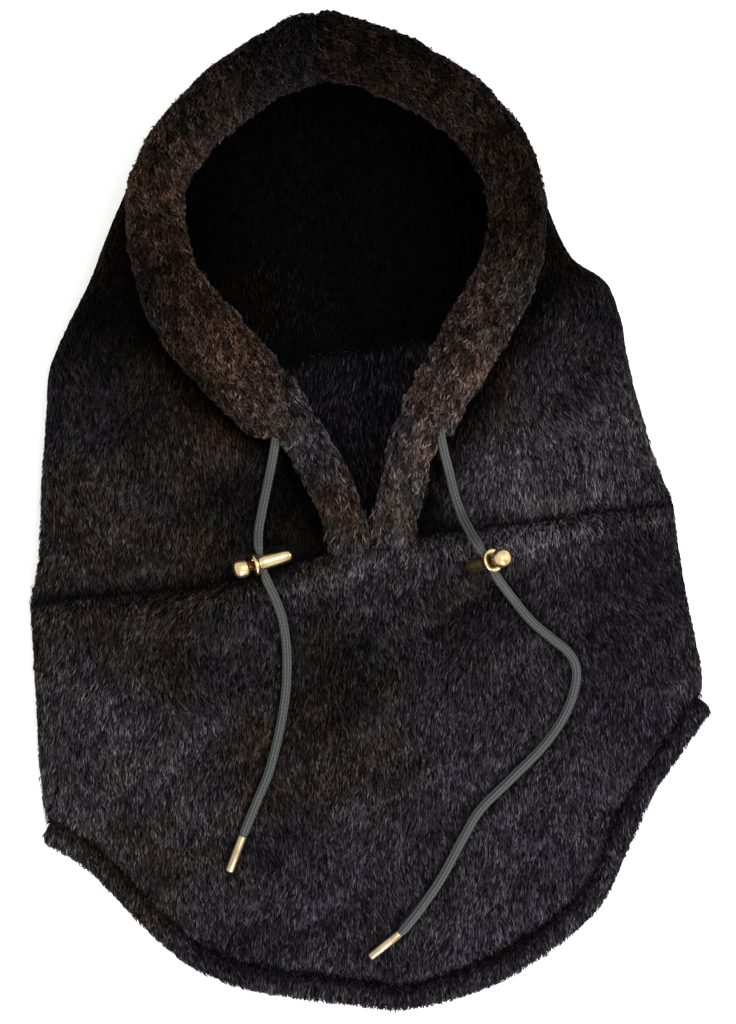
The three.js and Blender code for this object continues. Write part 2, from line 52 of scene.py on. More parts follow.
# the camera looks straight down at a picture 368 by 512 mm at the height of the front
picture = {"middleX": -1.0, "middleY": -1.5, "tall": 512.0, "level": 28.0, "distance": 2600.0, "sensor": 36}
cameraData = bpy.data.cameras.new("photoCamera")
cameraData.sensor_fit = "VERTICAL"
cameraData.sensor_height = picture["sensor"]
cameraData.lens = picture["sensor"] * (picture["distance"] - picture["level"]) / picture["tall"]
camera = addObject("photoCamera", cameraData)
camera.location = [picture[key] * millimetre for key in ("middleX", "middleY", "distance")]
scene.camera = camera


def linear(hexColour):
    # each sRGB channel to linear light: below the knee a straight line, above it a power of 2.4
    parts = [int(hexColour[i:i + 2], 16) / 255 for i in (1, 3, 5)]
    return [c / 12.92 if c <= 0.04045 else ((c + 0.055) / 1.055) ** 2.4 for c in parts] + [1.0]


def addNode(tree, kind, settings=None, links=None):
    # a node of one kind, its properties and unlinked inputs from settings, and its other inputs from sockets
    node = tree.nodes.new(kind)
    for key, value in (settings or {}).items():
        if isinstance(key, str) and hasattr(node, key):
            setattr(node, key, value)
        else:
            node.inputs[key].default_value = value
    for key, socket in (links or {}).items():
        tree.links.new(socket, node.inputs[key])
    return node


def newMaterial(name):
    material = bpy.data.materials.new(name)
    material.use_nodes = True
    material.node_tree.nodes.clear()
    return material, material.node_tree


def finishMaterial(tree, settings, links):
    shader = addNode(tree, "ShaderNodeBsdfPrincipled", settings, links)
    addNode(tree, "ShaderNodeOutputMaterial", links={"Surface": shader.outputs[0]})


def ramp(tree, factor, stops):
    # colours by a factor, each stop a place and a hex colour
    node = addNode(tree, "ShaderNodeValToRGB", links={"Fac": factor})
    elements = node.color_ramp.elements
    while len(elements) < len(stops):
        elements.new(0.5)
    for element, (place, colour) in zip(elements, stops):
        element.position = place
        element.color = linear(colour)
    return node


def makePiece(name, points, faces, material, body="scarf", values=None):
    # a mesh object from points in mm and face arrays of 3 or 4 corners each, with point values as attributes
    mesh = bpy.data.meshes.new(name)
    mesh.vertices.add(len(points))
    mesh.vertices.foreach_set("co", (np.asarray(points) * millimetre).astype(np.float32).ravel())
    sizes = np.concatenate([np.full(len(part), part.shape[1]) for part in faces])
    corners = np.concatenate([part.ravel() for part in faces]).astype(np.int32)
    mesh.loops.add(len(corners))
    mesh.loops.foreach_set("vertex_index", corners)
    mesh.polygons.add(len(sizes))
    mesh.polygons.foreach_set("loop_start", (np.cumsum(sizes) - sizes).astype(np.int32))
    mesh.update(calc_edges=True)
    mesh.polygons.foreach_set("use_smooth", np.ones(len(sizes), bool))
    for key, numbers in (values or {}).items():
        mesh.attributes.new(key, "FLOAT", "POINT").data.foreach_set("value", np.asarray(numbers, np.float32))
    mesh.materials.append(material)
    piece = addObject(name, mesh)
    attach(piece, body)
    return piece


def unit(vectors):
    return vectors / np.maximum(np.linalg.norm(vectors, axis=-1, keepdims=True), 1e-9)


def throughRows(values, place):
    # a smooth curve that passes through a table's values, read at any place between its rows
    i = np.clip(np.floor(place).astype(int), 0, len(values) - 2)
    t = place - i
    a, b, c, d = [values[np.clip(i + k, 0, len(values) - 1)] for k in (-1, 0, 1, 2)]
    if values.ndim > 1:
        t = t[..., None]
    return b + 0.5 * t * (c - a + t * (2 * a - 5 * b + 4 * c - d + t * (3 * (b - c) + d - a)))


def smoothStep(x, low, high):
    t = np.clip((x - low) / (high - low), 0, 1)
    return t * t * (3 - 2 * t)


def turnsOf(count):
    return np.linspace(0, 2 * np.pi, count, endpoint=False)


# Plush fleece, a knitted polyester backing with a brushed pile. Its strands are painted dark towards the
# roots, and the root colour is painted shade between them, with a painted soft light on the tips. The dye
# leans brown in some places and blue-violet in others.
plushLook = {"root": "#020202", "brownTip": "#856554", "greyTip": "#6f696b", "violetTip": "#6a6475",
             "speckMm": 5, "pileRoughness": 0.6, "backingRoughness": 0.85, "specular": 0.02,
             "groundMm": 0.9, "bump": 0.0007}


def plushColour(tree, brightness):
    place = addNode(tree, "ShaderNodeTexCoord").outputs["Object"]
    cool = addNode(tree, "ShaderNodeAttribute", {"attribute_name": "cool"}).outputs["Fac"]
    tint = ramp(tree, cool, [
        (0.1, plushLook["brownTip"]), (0.5, plushLook["greyTip"]), (0.9, plushLook["violetTip"])])
    speck = addNode(tree, "ShaderNodeTexNoise", {"Scale": 1000 / plushLook["speckMm"]}, {"Vector": place})
    lift = addNode(tree, "ShaderNodeMapRange",
                   {"From Min": 0.3, "From Max": 0.7, "To Min": 0.7, "To Max": 1.25},
                   {"Value": speck.outputs["Fac"]})
    amount = addNode(tree, "ShaderNodeMath", {"operation": "MULTIPLY"}, {0: brightness, 1: lift.outputs[0]})
    mixed = addNode(tree, "ShaderNodeMix", {"data_type": "RGBA", 6: linear(plushLook["root"])},
                    {0: amount.outputs[0], 7: tint.outputs[0]})
    return mixed.outputs[2]


def plushPileMaterial():
    # the strands, each painted brighter towards its tip, as painted shade deepens towards the roots
    material, tree = newMaterial("brushedPolyesterPile")
    along = addNode(tree, "ShaderNodeAttribute", {"attribute_name": "along"}).outputs["Fac"]
    shade = addNode(tree, "ShaderNodeAttribute", {"attribute_name": "shade"}).outputs["Fac"]
    bright = addNode(tree, "ShaderNodeMath", {"operation": "MULTIPLY"}, {0: along, 1: shade})
    finishMaterial(
        tree, {"Roughness": plushLook["pileRoughness"], "Specular IOR Level": plushLook["specular"]},
        {"Base Color": plushColour(tree, bright.outputs[0])})
    return material


def plushBackingMaterial():
    # the knitted ground under the pile, painted nearly black between the strands as painted shade, and its
    # tone attribute carries painted light and shade by place. Its bump is stretched 4 to 5 times down the
    # cloth and drawn as coarse as 0.9 mm, because a real fibre of 0.02 mm is too fine to show.
    material, tree = newMaterial("knittedPolyesterBacking")
    place = addNode(tree, "ShaderNodeTexCoord").outputs["Object"]
    stretched = addNode(tree, "ShaderNodeMapping", {"Scale": (1.0, 0.22, 1.0)}, {"Vector": place})
    strands = addNode(tree, "ShaderNodeTexNoise", {"Scale": 1000 / plushLook["groundMm"]},
                      {"Vector": stretched.outputs[0]})
    faint = addNode(tree, "ShaderNodeMapRange", {"From Min": 0.35, "From Max": 0.75, "To Max": 0.12},
                    {"Value": strands.outputs["Fac"]})
    # tone: painted light and shade by place, and painted shade on the inner faces
    tone = addNode(tree, "ShaderNodeAttribute", {"attribute_name": "tone"}).outputs["Fac"]
    toned = addNode(tree, "ShaderNodeMath", {"operation": "MULTIPLY"}, {0: faint.outputs[0], 1: tone})
    colour = plushColour(tree, toned.outputs[0])
    bump = addNode(tree, "ShaderNodeBump", {"Strength": 0.7, "Distance": plushLook["bump"]},
                   {"Height": strands.outputs["Fac"]})
    finishMaterial(
        tree, {"Roughness": plushLook["backingRoughness"], "Specular IOR Level": plushLook["specular"]},
        {"Base Color": colour, "Normal": bump.outputs[0]})
    return material


def braidMaterial():
    # round braided polyester cord: dull, with a painted highlight along each rib, painted shade between the
    # ribs, and slanting stitches 2 mm apart
    material, tree = newMaterial("braidedPolyesterCord")
    rib = addNode(tree, "ShaderNodeAttribute", {"attribute_name": "rib"}).outputs["Fac"]
    run = addNode(tree, "ShaderNodeAttribute", {"attribute_name": "run"}).outputs["Fac"]
    slant = addNode(tree, "ShaderNodeMath", {"operation": "MULTIPLY_ADD", 1: 2 * math.pi / 2.0},
                    {0: run, 2: rib})
    stitch = addNode(tree, "ShaderNodeMath", {"operation": "SINE"}, {0: slant.outputs[0]})
    weave = addNode(tree, "ShaderNodeMapRange", {"From Min": -1.0, "To Min": 0.75},
                    {"Value": stitch.outputs[0]})
    light = addNode(tree, "ShaderNodeMath", {"operation": "MULTIPLY"}, {0: rib, 1: weave.outputs[0]})
    colour = ramp(tree, light.outputs[0], [(0.1, "#080a0a"), (0.55, "#181b1a"), (0.95, "#454a46")])
    bump = addNode(tree, "ShaderNodeBump", {"Strength": 0.5, "Distance": 0.0003},
                   {"Height": light.outputs[0]})
    finishMaterial(tree, {"Roughness": 0.6, "Sheen Weight": 0.15},
                   {"Base Color": colour.outputs[0], "Normal": bump.outputs[0]})
    return material


def goldMaterial(name, colour, roughness):
    # plated zinc or brass: a bright pale-gold mirror with faint polishing marks half a millimetre apart
    material, tree = newMaterial(name)
    place = addNode(tree, "ShaderNodeTexCoord").outputs["Object"]
    marks = addNode(tree, "ShaderNodeTexNoise", {"Scale": 1000 / 0.5}, {"Vector": place})
    rough = addNode(tree, "ShaderNodeMapRange", {"To Min": roughness * 0.7, "To Max": roughness * 1.4},
                    {"Value": marks.outputs["Fac"]})
    cloud = addNode(tree, "ShaderNodeTexNoise", {"Scale": 1000 / 6}, {"Vector": place})
    tone = ramp(tree, cloud.outputs["Fac"], [(0.3, colour[0]), (0.7, colour[1])])
    finishMaterial(tree, {"Metallic": 1.0}, {"Base Color": tone.outputs[0], "Roughness": rough.outputs[0]})
    return material


pile = plushPileMaterial()
backing = plushBackingMaterial()
braid = braidMaterial()
lockGold = goldMaterial("platedZincLock", ("#b5a071", "#d2be93"), 0.22)
buttonGold = goldMaterial("platedZincButton", ("#c0a06c", "#dcc296"), 0.28)
tipGold = goldMaterial("satinBrassTip", ("#a08c70", "#bba98a"), 0.34)

# the drawcords, each a round braid that follows its points from inside the face roll to its metal tip. It is
# squeezed to the neck's width near its lock and in its tip: fully at the first distance, not past the second.
cordShape = {"wide": 4.6, "neck": 3.5, "ribs": 8, "ribDeep": 0.3, "sides": 40, "stepMm": 1.3, "inTip": 6.0,
             "nearLock": (5.2, 8.2), "nearTip": (5.2, 7.5), "twist": 0.02, "presses": 2.6}
cordRoutes = {
    "left": {
        "upper": [
            [-45, 47, 47.4], [-45.9, 41, 45.9], [-46.8, 35, 44.4], [-47.7, 29, 42.7], [-49.4, 20.5, 37.4],
            [-52, 8, 36.4], [-54.4, -4, 36.4], [-55.6, -12, 37.2], [-55.3, -20.5, 39.4]],
        "lower": [
            [-52.3, -32.9, 39.4], [-50.2, -38, 38.5], [-46.6, -46, 37.7], [-43.4, -56, 37.1],
            [-41.6, -70, 36.2], [-41.8, -88, 35.1], [-44.4, -107, 35], [-50, -130, 34.8],
            [-56.5, -146, 34.2], [-63.2, -162.5, 33.1]],
        "tip": [[-63.2, -162.5, 33.1], [-70.6, -182, 31.1]],
        "length": 0.226, "exit": (-0.0478, 0.0285, 0.0425),
    },
    "right": {
        "upper": [
            [32.8, 48, 47.2], [34, 42, 45.4], [35.2, 36, 43.6], [37, 28, 40.2], [39.4, 19, 35.8],
            [42, 8, 34.3], [45.8, -3, 35.2], [50.3, -12, 42], [54.7, -19.5, 48]],
        "lower": [
            [62.5, -32.9, 45], [66.8, -39, 40.8], [71.8, -45.4, 37], [80, -55.4, 35.5], [90, -64, 34.4],
            [99, -71.5, 33], [103, -80, 32.2], [101.6, -92, 31.7], [95.5, -106, 31.6], [85, -120, 32.9],
            [69, -136, 33.2], [55, -150, 33.5], [46, -165, 33.3], [36, -183.5, 33.2], [25.5, -199, 33],
            [15.5, -211.5, 31.2]],
        "tip": [[15.5, -211.5, 31.2], [-0.5, -224.5, 29.2]],
        "length": 0.326, "exit": (0.0362, 0.0315, 0.0415),
    },
}


def tubeFaces(rows, cols):
    i, j = np.meshgrid(np.arange(rows - 1), np.arange(cols), indexing="ij")
    k = (j + 1) % cols
    row, below = i * cols, (i + 1) * cols
    quads = np.stack([row + j, row + k, below + k, below + j], axis=-1).reshape(-1, 4)
    ring = np.arange(cols)
    after = (ring + 1) % cols
    first, last = rows * cols, rows * cols + 1
    caps = np.concatenate([
        np.stack([np.full(cols, first), after, ring], axis=1),
        np.stack([np.full(cols, last), (rows - 1) * cols + ring, (rows - 1) * cols + after], axis=1)])
    return [quads, caps]


def closedTube(points):
    # the points of every ring, and the middles of the first and the last for the caps
    return np.concatenate([points.reshape(-1, 3), points[[0, -1]].mean(axis=1)])


def facingOut(cloud, faces):
    # the faces, turned over if the volume inside them, added up as wedges from the middle, comes out negative
    middle = cloud.mean(axis=0)
    volume = 0
    for part in faces:
        corner = cloud[part] - middle
        for k in range(2, part.shape[1]):
            volume += np.einsum("ij,ij->i", corner[:, 0], np.cross(corner[:, k - 1], corner[:, k])).sum()
    return faces if volume > 0 else [part[:, ::-1] for part in faces]


def makeCord(side):
    route = cordRoutes[side]
    tipStart, tipEnd = [np.array(p) for p in route["tip"]]
    inTip = tipStart + unit(tipEnd - tipStart) * cordShape["inTip"]
    # a smooth line through the points, taken at equal steps of length
    points = np.array(route["upper"] + route["lower"] + [list(inTip)], float)
    fine = throughRows(points, np.linspace(0, len(points) - 1, 40 * len(points)))
    length = np.concatenate([[0], np.cumsum(np.linalg.norm(np.diff(fine, axis=0), axis=1))])
    run = np.linspace(0, length[-1], int(length[-1] / cordShape["stepMm"]) + 1)
    path = np.stack([np.interp(run, length, fine[:, k]) for k in range(3)], axis=1)
    ahead = unit(np.gradient(path, axis=0))
    across = unit(np.cross(np.array([0.0, 0.0, 1.0]), ahead))
    upward = np.cross(ahead, across)
    lock = (np.array(route["upper"][-1]) + np.array(route["lower"][0])) / 2
    fromTip = run[-1] - run
    squeeze = 1 - np.minimum(smoothStep(np.linalg.norm(path - lock, axis=1), *cordShape["nearLock"]),
                             smoothStep(fromTip, *cordShape["nearTip"]))
    radius = cordShape["wide"] / 2 + (cordShape["neck"] - cordShape["wide"]) / 2 * squeeze
    turn = turnsOf(cordShape["sides"])
    wave = 0.5 + 0.5 * np.cos(cordShape["ribs"] * turn[None] + cordShape["twist"] * run[:, None])
    radii = radius[:, None] - cordShape["ribDeep"] * (1 - wave) * (1 - 0.6 * squeeze[:, None])
    ring = across[:, None] * np.cos(turn)[None, :, None] + upward[:, None] * np.sin(turn)[None, :, None]
    points = path[:, None] + ring * radii[..., None]
    cord = makePiece(
        f"drawcord_{side}_braid", closedTube(points), tubeFaces(*points.shape[:2]), braid,
        values={"rib": np.concatenate([wave.ravel(), [0.5, 0.5]]),
                "run": np.concatenate([np.repeat(run, cordShape["sides"]), [0, run[-1]]])})
    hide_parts(f"drawcord_{side}")
    return cord, path


cords = {side: makeCord(side) for side in cordRoutes}
print("cords")

# the spring cord locks, turned profiles of radius and distance from the press head. The hole in the barrel
# and the slot in the button are drilled as rods along the cord's way, moved towards the head by the shifts.
lockShape = {
    "cross": 15.0, "sides": 72, "hole": {"wide": 4.3, "shifts": (0.0, 0.8)},
    "slot": {"wide": 4.7, "shifts": (0.0, 1.0, 2.0, 3.0, 3.8)},
    "barrel": [(3.0, 10.6), (5.55, 10.35), (5.9, 10.75), (5.85, 11.4), (4.75, 12.7), (4.3, 13.3), (4.15, 16),
               (3.6, 26), (3.4, 28.8), (2.6, 30.3), (1.2, 30.9), (0, 31), (0, 22.2), (3.0, 22.2)],
    "button": [(0, 0), (1.3, 0.06), (2.5, 0.3), (3.5, 0.9), (4.3, 1.9), (4.65, 3.0), (4.65, 6.0), (4.4, 6.7),
               (3.4, 7.3), (2.7, 7.7), (2.7, 18.6), (0, 18.6)],
}
locks = {
    "left": {"at": (-53.8, -26.7, 39.4), "towardsTip": (0.935, 0.268, -0.225), "lies": 16},
    "right": {"at": (58.6, -26.2, 46.5), "towardsTip": (-0.617, -0.18, -0.766), "lies": 1},
}
tipShape = {"long": 20.0, "wide": 4.4, "bore": 3.8, "socket": 7.0, "mouth": 0.8, "sides": 48}


def turnedPoints(profile, sides, start, axis):
    # a profile of (radius, distance) turned about an axis: each point goes out by the radius at every angle.
    # Where the radius is 0 the ring is left a hair wide.
    axis = unit(np.asarray(axis, float))
    side = unit(np.cross(axis, [0.0, 0.0, 1.0]))
    turn = turnsOf(sides)
    out = side * np.cos(turn)[:, None] + np.cross(side, axis) * np.sin(turn)[:, None]
    return np.stack([np.asarray(start) + axis * t + out * max(r, 0.02) for r, t in profile])


def turnedPiece(name, profile, start, axis, material, body="scarf", sides=lockShape["sides"],
                looped=True):
    # looped joins the last ring to the first, where the profile is a whole loop. Otherwise both are capped.
    points = turnedPoints(profile, sides, start, axis)
    cloud, faces = closedTube(points), tubeFaces(len(points), sides)
    if looped:
        ring = np.arange(sides)
        after = (ring + 1) % sides
        last = (len(points) - 1) * sides
        cloud = points.reshape(-1, 3)
        faces = [np.concatenate([faces[0], np.stack([last + ring, last + after, after, ring], axis=1)])]
    return makePiece(name, cloud, facingOut(cloud, faces), material, body)


def drill(piece, start, end, axis, kind):
    # takes a rod's space out of the piece at each of the shifts, then clears the rods away
    way, radius, sides = end - start, lockShape[kind]["wide"] / 2, 32
    rods = []
    for shift in lockShape[kind]["shifts"]:
        rod = [(radius, 0), (radius, float(np.linalg.norm(way)))]
        cloud = closedTube(turnedPoints(rod, sides, start - axis * shift, way))
        faces = facingOut(cloud, tubeFaces(2, sides))
        mesh = bpy.data.meshes.new("cutter")
        corners = [face for part in faces for face in part.tolist()]
        mesh.from_pydata((cloud * millimetre).tolist(), [], corners)
        rods.append(addObject("cutter", mesh))
    for rod in rods:
        hole = piece.modifiers.new("drill", "BOOLEAN")
        hole.operation = "DIFFERENCE"
        hole.solver = "EXACT"
        hole.object = rod
    graph = bpy.context.evaluated_depsgraph_get()
    mesh = bpy.data.meshes.new_from_object(piece.evaluated_get(graph))
    piece.modifiers.clear()
    piece.data = mesh
    for rod in rods:
        bpy.data.objects.remove(rod)


def makeLock(side):
    lock, route = locks[side], cordRoutes[side]
    axis = unit(np.array(lock["towardsTip"]))
    head = np.array(lock["at"]) - axis * lockShape["cross"]
    cordIn, cordOut = np.array(route["upper"][-1]), np.array(route["lower"][0])
    way = unit(cordOut - cordIn)
    barrel = turnedPiece(f"toggle_{side}_barrel_gold", lockShape["barrel"], head, axis, lockGold)
    drill(barrel, cordIn - way, cordOut + way, axis, "hole")
    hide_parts(f"toggle_{side}_barrel")
    button = turnedPiece(f"toggle_{side}_button_gold", lockShape["button"], head, axis, buttonGold,
                         body=f"toggle_{side}_button", looped=False)
    drill(button, cordIn - way, cordOut + way, axis, "slot")
    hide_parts(f"toggle_{side}_button")
    return barrel, button


def makeTip(side):
    # a tube with a socket for the braid, its edges rounded at both ends
    start, end = [np.array(p) for p in cordRoutes[side]["tip"]]
    half, bore, long, mouth = tipShape["wide"] / 2, tipShape["bore"] / 2, tipShape["long"], tipShape["mouth"]
    profile = [(bore, mouth + 0.15), (bore + 0.12, mouth), (half - 0.12, mouth), (half, mouth + 0.15),
               (half, long - 0.7), (half - 0.25, long - 0.2), (half - 0.7, long), (0, long),
               (0, tipShape["socket"]), (bore, tipShape["socket"])]
    tip = turnedPiece(f"aglet_{side}_gold", profile, start, end - start, tipGold,
                      sides=tipShape["sides"])
    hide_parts(f"aglet_{side}")
    return tip


for side in locks:
    fittings = [*makeLock(side), makeTip(side)]
print("locks and tips")

# the garment's surfaces, from the same tables as the solids. A station is one row from the front line over
# the side fold to the centre back; rows 0 to 14 are the hood, 14 is the yoke seam, and 14 to 19 the bib.
wallShape = {"backingHalf": 1.3, "foldReach": 20.0, "roundness": 2.5, "ground": 2.5, "yoke": 14, "hem": 19.0}
columns = ["frontX", "frontY", "frontZ", "shift", "wide", "sideX", "sideY", "sideZ", "bow", "backX", "backY"]


def station(rows):
    rows = np.array(rows, float)
    return {name: rows[:, k] for k, name in enumerate(columns)}


crownX = -27
left = {
    "sign": -1,
    "stations": station([
        [crownX, 231, 44, 0, 17.5, crownX, 240, 26, 0, crownX, 205],
        [-57, 215.5, 44, 0, 16.5, -63, 223, 26, 0, -26.5, 201],
        [-82, 196, 44, 0, 15.5, -90, 203, 25, 0, -26, 194],
        [-99.5, 174.5, 43, 0, 15, -110, 181, 24, 0, -25, 185],
        [-106.5, 154.5, 42, 0, 15, -120, 159, 22, 0, -24, 175],
        [-105, 132, 41, 0, 15.5, -130, 136, 20, 0, -23, 165],
        [-99, 111.5, 40, 0, 17, -138.5, 114, 18, 0, -21.5, 155],
        [-88.5, 94.5, 39, 0, 19, -150, 91, 16, 0, -20, 145],
        [-73.5, 77, 37.5, 0, 19.5, -158.5, 71, 15, 0, -18, 135],
        [-60, 62, 36, 0, 19, -160.5, 52, 14.5, 0, -16, 125],
        [-46, 46.5, 34.5, 0, 17.5, -161.5, 33, 14, 0, -14, 116],
        [-32.5, 33, 33, 0, 12.5, -163, 14, 13.5, 0.05, -12, 107],
        [-19, 17.5, 32, 3, 11.5, -163.5, -6, 13, 0.12, -9.5, 98],
        [-9, 3, 31, 6.5, 11, -164.5, -27, 13, 0.22, -7, 89],
        [0, -14, 30, 11, 10.5, -168, -48, 13, 0.35, -4, 80],
        [1, -55, 31, 11, 0, -167, -75, 12.5, 0.45, -2, 25],
        [3, -105, 30.5, 11, 0, -165.5, -100, 12, 0.58, 1, -35],
        [5, -155, 28.5, 11, 0, -164.5, -122, 12, 0.72, 3, -95],
        [8, -200, 25.5, 11, 0, -162.5, -142, 11.5, 0.86, 6, -160],
        [14, -240.5, 22.5, 11, 0, -160.5, -157, 11.5, 1, 12, -235],
    ]),
    "hemCurve": np.array([
        [0, 0], [0.07, 4.5], [0.17, 11], [0.35, 21.5], [0.5, 24.5], [0.57, 21.5], [0.71, 12.5], [0.85, 3],
        [1, 0]]),
}
right = {
    "sign": 1,
    "stations": station([
        [crownX, 231, 44, 0, 17.5, crownX, 240, 26, 0, crownX, 205],
        [1.5, 223.5, 44, 0, 17, 4.5, 232, 26, 0, -26.5, 201],
        [26, 212, 44, 0, 16.5, 30, 220, 25, 0, -26, 194],
        [48, 197.5, 43, 0, 16, 54, 205, 24, 0, -25, 185],
        [66, 175, 42, 0, 15.5, 75, 179, 22, 0, -24, 175],
        [72.5, 153.5, 41, 0, 15, 85, 155, 21, 0, -23, 165],
        [72.5, 134.5, 40, 0, 15, 98.5, 126, 19, 0, -21.5, 155],
        [68, 116.5, 39, 0, 16, 116, 113, 17, 0, -20, 145],
        [58.5, 98.5, 38, 0, 16.5, 123.5, 97, 16, 0, -18, 135],
        [49, 82, 37, 0, 16.5, 126.5, 80, 15, 0, -16, 125],
        [39.5, 65, 35.5, 0, 16, 130.5, 62, 14.5, 0, -14, 116],
        [30, 47.5, 34, 0, 15.5, 135, 46, 14, 0, -12, 107],
        [20, 31.5, 32.5, 1, 12, 139, 31, 13.5, 0, -9.5, 98],
        [11, 12, 31, 5.5, 11.5, 144, 17, 13, 0.03, -7, 89],
        [0, -14, 30, 11, 10.5, 150, 3, 13, 0.06, -4, 80],
        [1, -55, 31, 11, 0, 153, -19, 12.5, 0.2, -2, 25],
        [3, -105, 30.5, 11, 0, 156.5, -41, 12, 0.4, 1, -35],
        [5, -155, 28.5, 11, 0, 160.5, -61, 12, 0.6, 3, -95],
        [8, -200, 25.5, 11, 0, 164, -79, 11.5, 0.8, 6, -160],
        [14, -240.5, 22.5, 11, 0, 164.5, -94, 11.5, 1, 12, -235],
    ]),
    "hemCurve": np.array([
        [0, 0], [0.04, 6.5], [0.15, 18.5], [0.25, 26], [0.47, 31], [0.66, 16.5], [0.77, 8.5], [1, 0]]),
}

# soft humps and hollows of the front: middle, turn of the long side from +X, half length, half width, rise
folds = np.array([
    [-112, -54, -3, 62, 9, 4.5], [-60, -44, 20, 30, 9, 3], [-136, 62, 20, 24, 16, 3],
    [-122, 4, 60, 34, 18, 3.5], [-86, 22, -40, 34, 12, -3], [96, 30, 70, 40, 16, 3.5],
    [118, -14, 6, 44, 9, 3], [-22, -78, 75, 40, 13, -4.5], [-8, -128, 85, 30, 8, 3],
    [44, -84, 60, 42, 14, 2.5], [96, -96, 65, 40, 13, -2.5], [-100, -120, 80, 46, 18, 2.5],
    [-152, -100, 88, 52, 7, 2], [40, -190, 25, 50, 14, 2.5]])
nape = {"out": 28, "above": 4.5, "below": 1.9}
yokeGroove = {"deep": 6.0, "above": 0.45, "below": 0.13}
rollCrease = {"deep": 8.0, "wide": 9.0}
rollShape = {"tall": 0.78, "tallRange": (9, 13), "sink": 4.5, "sides": 44, "step": 0.1, "seamPinch": 0.12,
             "seamLap": 0.15, "inset": 2.2, "meets": 2.0, "eyelet": {-1: 0.3, 1: 0.08}, "eyeletAt": 10.5}
hemShape = {"wide": 5.9, "deep": 4.7, "reach": 4.0, "sides": 24, "inset": 0.4, "ends": 4,
            "frontLift": 17.3, "backLift": 5.6}
lumps = {"rise": 0.45, "smallest": 16.0, "largest": 45.0, "count": 14}
lumpTurns = draws.uniform(0, 2 * np.pi, lumps["count"])
lumpWaves = 2 * np.pi / draws.uniform(lumps["smallest"], lumps["largest"], lumps["count"])
lumpStarts = draws.uniform(0, 2 * np.pi, lumps["count"])


def column(half, name, u):
    return throughRows(half["stations"][name], u)


def planPoint(half, line, u):
    return np.stack([column(half, line + "X", u), column(half, line + "Y", u)], axis=-1)


def frontSpan(half, u):
    # from the front line to the side fold, seen from above
    return np.linalg.norm(planPoint(half, "side", u) - planPoint(half, "front", u), axis=-1)


def hemBow(half, along):
    rows = half["hemCurve"]
    i = np.clip(np.searchsorted(rows[:, 0], along, side="right") - 1, 0, len(rows) - 2)
    t = (along - rows[i, 0]) / (rows[i + 1, 0] - rows[i, 0])
    return throughRows(rows[:, 1], i + t)


def planLine(half, u, start, end, along, lift):
    # a straight line between two points seen from above, bowed out sideways by the hem's curve less the lift
    way = end - start
    x, y = np.moveaxis(unit(way), -1, 0)
    out = column(half, "bow", u) * hemBow(half, along) - lift * 6.75 * along * (1 - along) ** 2
    return start + way * along[..., None] + half["sign"] * np.stack([y * out, -x * out], axis=-1)


def foldRise(x, y):
    # the folds' bell shapes added up, and a few long low waves in every direction for the cloth's softness
    rise = np.zeros_like(x)
    for atX, atY, turn, long, wide, high in folds:
        c, s = math.cos(math.radians(turn)), math.sin(math.radians(turn))
        rise += high * np.exp(-(((x - atX) * c + (y - atY) * s) / long) ** 2
                              - (((y - atY) * c - (x - atX) * s) / wide) ** 2)
    for turn, wave, begin in zip(lumpTurns, lumpWaves, lumpStarts):
        rise += lumps["rise"] * np.sin((x * math.cos(turn) + y * math.sin(turn)) * wave + begin)
    return rise


def frontPoint(half, u, s):
    # from the front line to the side fold: straight in plan, and in height down a flattened quarter ellipse
    plan = planLine(half, u, planPoint(half, "front", u), planPoint(half, "side", u), s, 0)
    drop = (1 - np.clip(s, 0, 1) ** wallShape["roundness"]) ** (1 / wallShape["roundness"])
    pinch = np.where(u < wallShape["yoke"], yokeGroove["above"], yokeGroove["below"])
    groove = yokeGroove["deep"] * np.exp(-((u - wallShape["yoke"]) / pinch) ** 2)
    length = frontSpan(half, u)
    span = np.minimum(length / 60, 1)
    fromRoll = s * length - column(half, "shift", u) - column(half, "wide", u)
    valley = np.clip((wallShape["yoke"] - u) / 0.7, 0, 1) * span
    crease = rollCrease["deep"] * valley * np.exp(-(fromRoll / rollCrease["wide"]) ** 2)
    rise = (foldRise(plan[..., 0], plan[..., 1]) * span - groove - crease) * (1 - s ** 6)
    low = column(half, "sideZ", u)
    return np.concatenate([plan, (low + (column(half, "frontZ", u) - low) * drop + rise)[..., None]], axis=-1)


def backPoint(half, u, s):
    # from the side fold a quarter turn down to the ground over the first 0.4, then flat to the centre back
    back, side = planPoint(half, "back", u), planPoint(half, "side", u)
    reach = np.minimum(wallShape["foldReach"] / np.linalg.norm(side - back, axis=-1), 0.6)
    turn = np.minimum(s / 0.4, 1) * np.pi / 2
    inward = reach * (1 - np.cos(turn)) + (1 - reach) * np.maximum(s - 0.4, 0) / 0.6
    fall = np.where(u < wallShape["yoke"], nape["above"], nape["below"])
    lift = nape["out"] * np.exp(-((u - wallShape["yoke"]) / fall) ** 2)
    plan = planLine(half, u, back, side, 1 - inward, lift)
    high = column(half, "sideZ", u)
    return np.concatenate([plan, (high - (high - wallShape["ground"]) * np.sin(turn))[..., None]], axis=-1)


def gridNormals(points, flip):
    # across each grid point, the cross product of the two directions along the grid
    return unit(np.cross(np.gradient(points, axis=1), np.gradient(points, axis=0)) * flip)


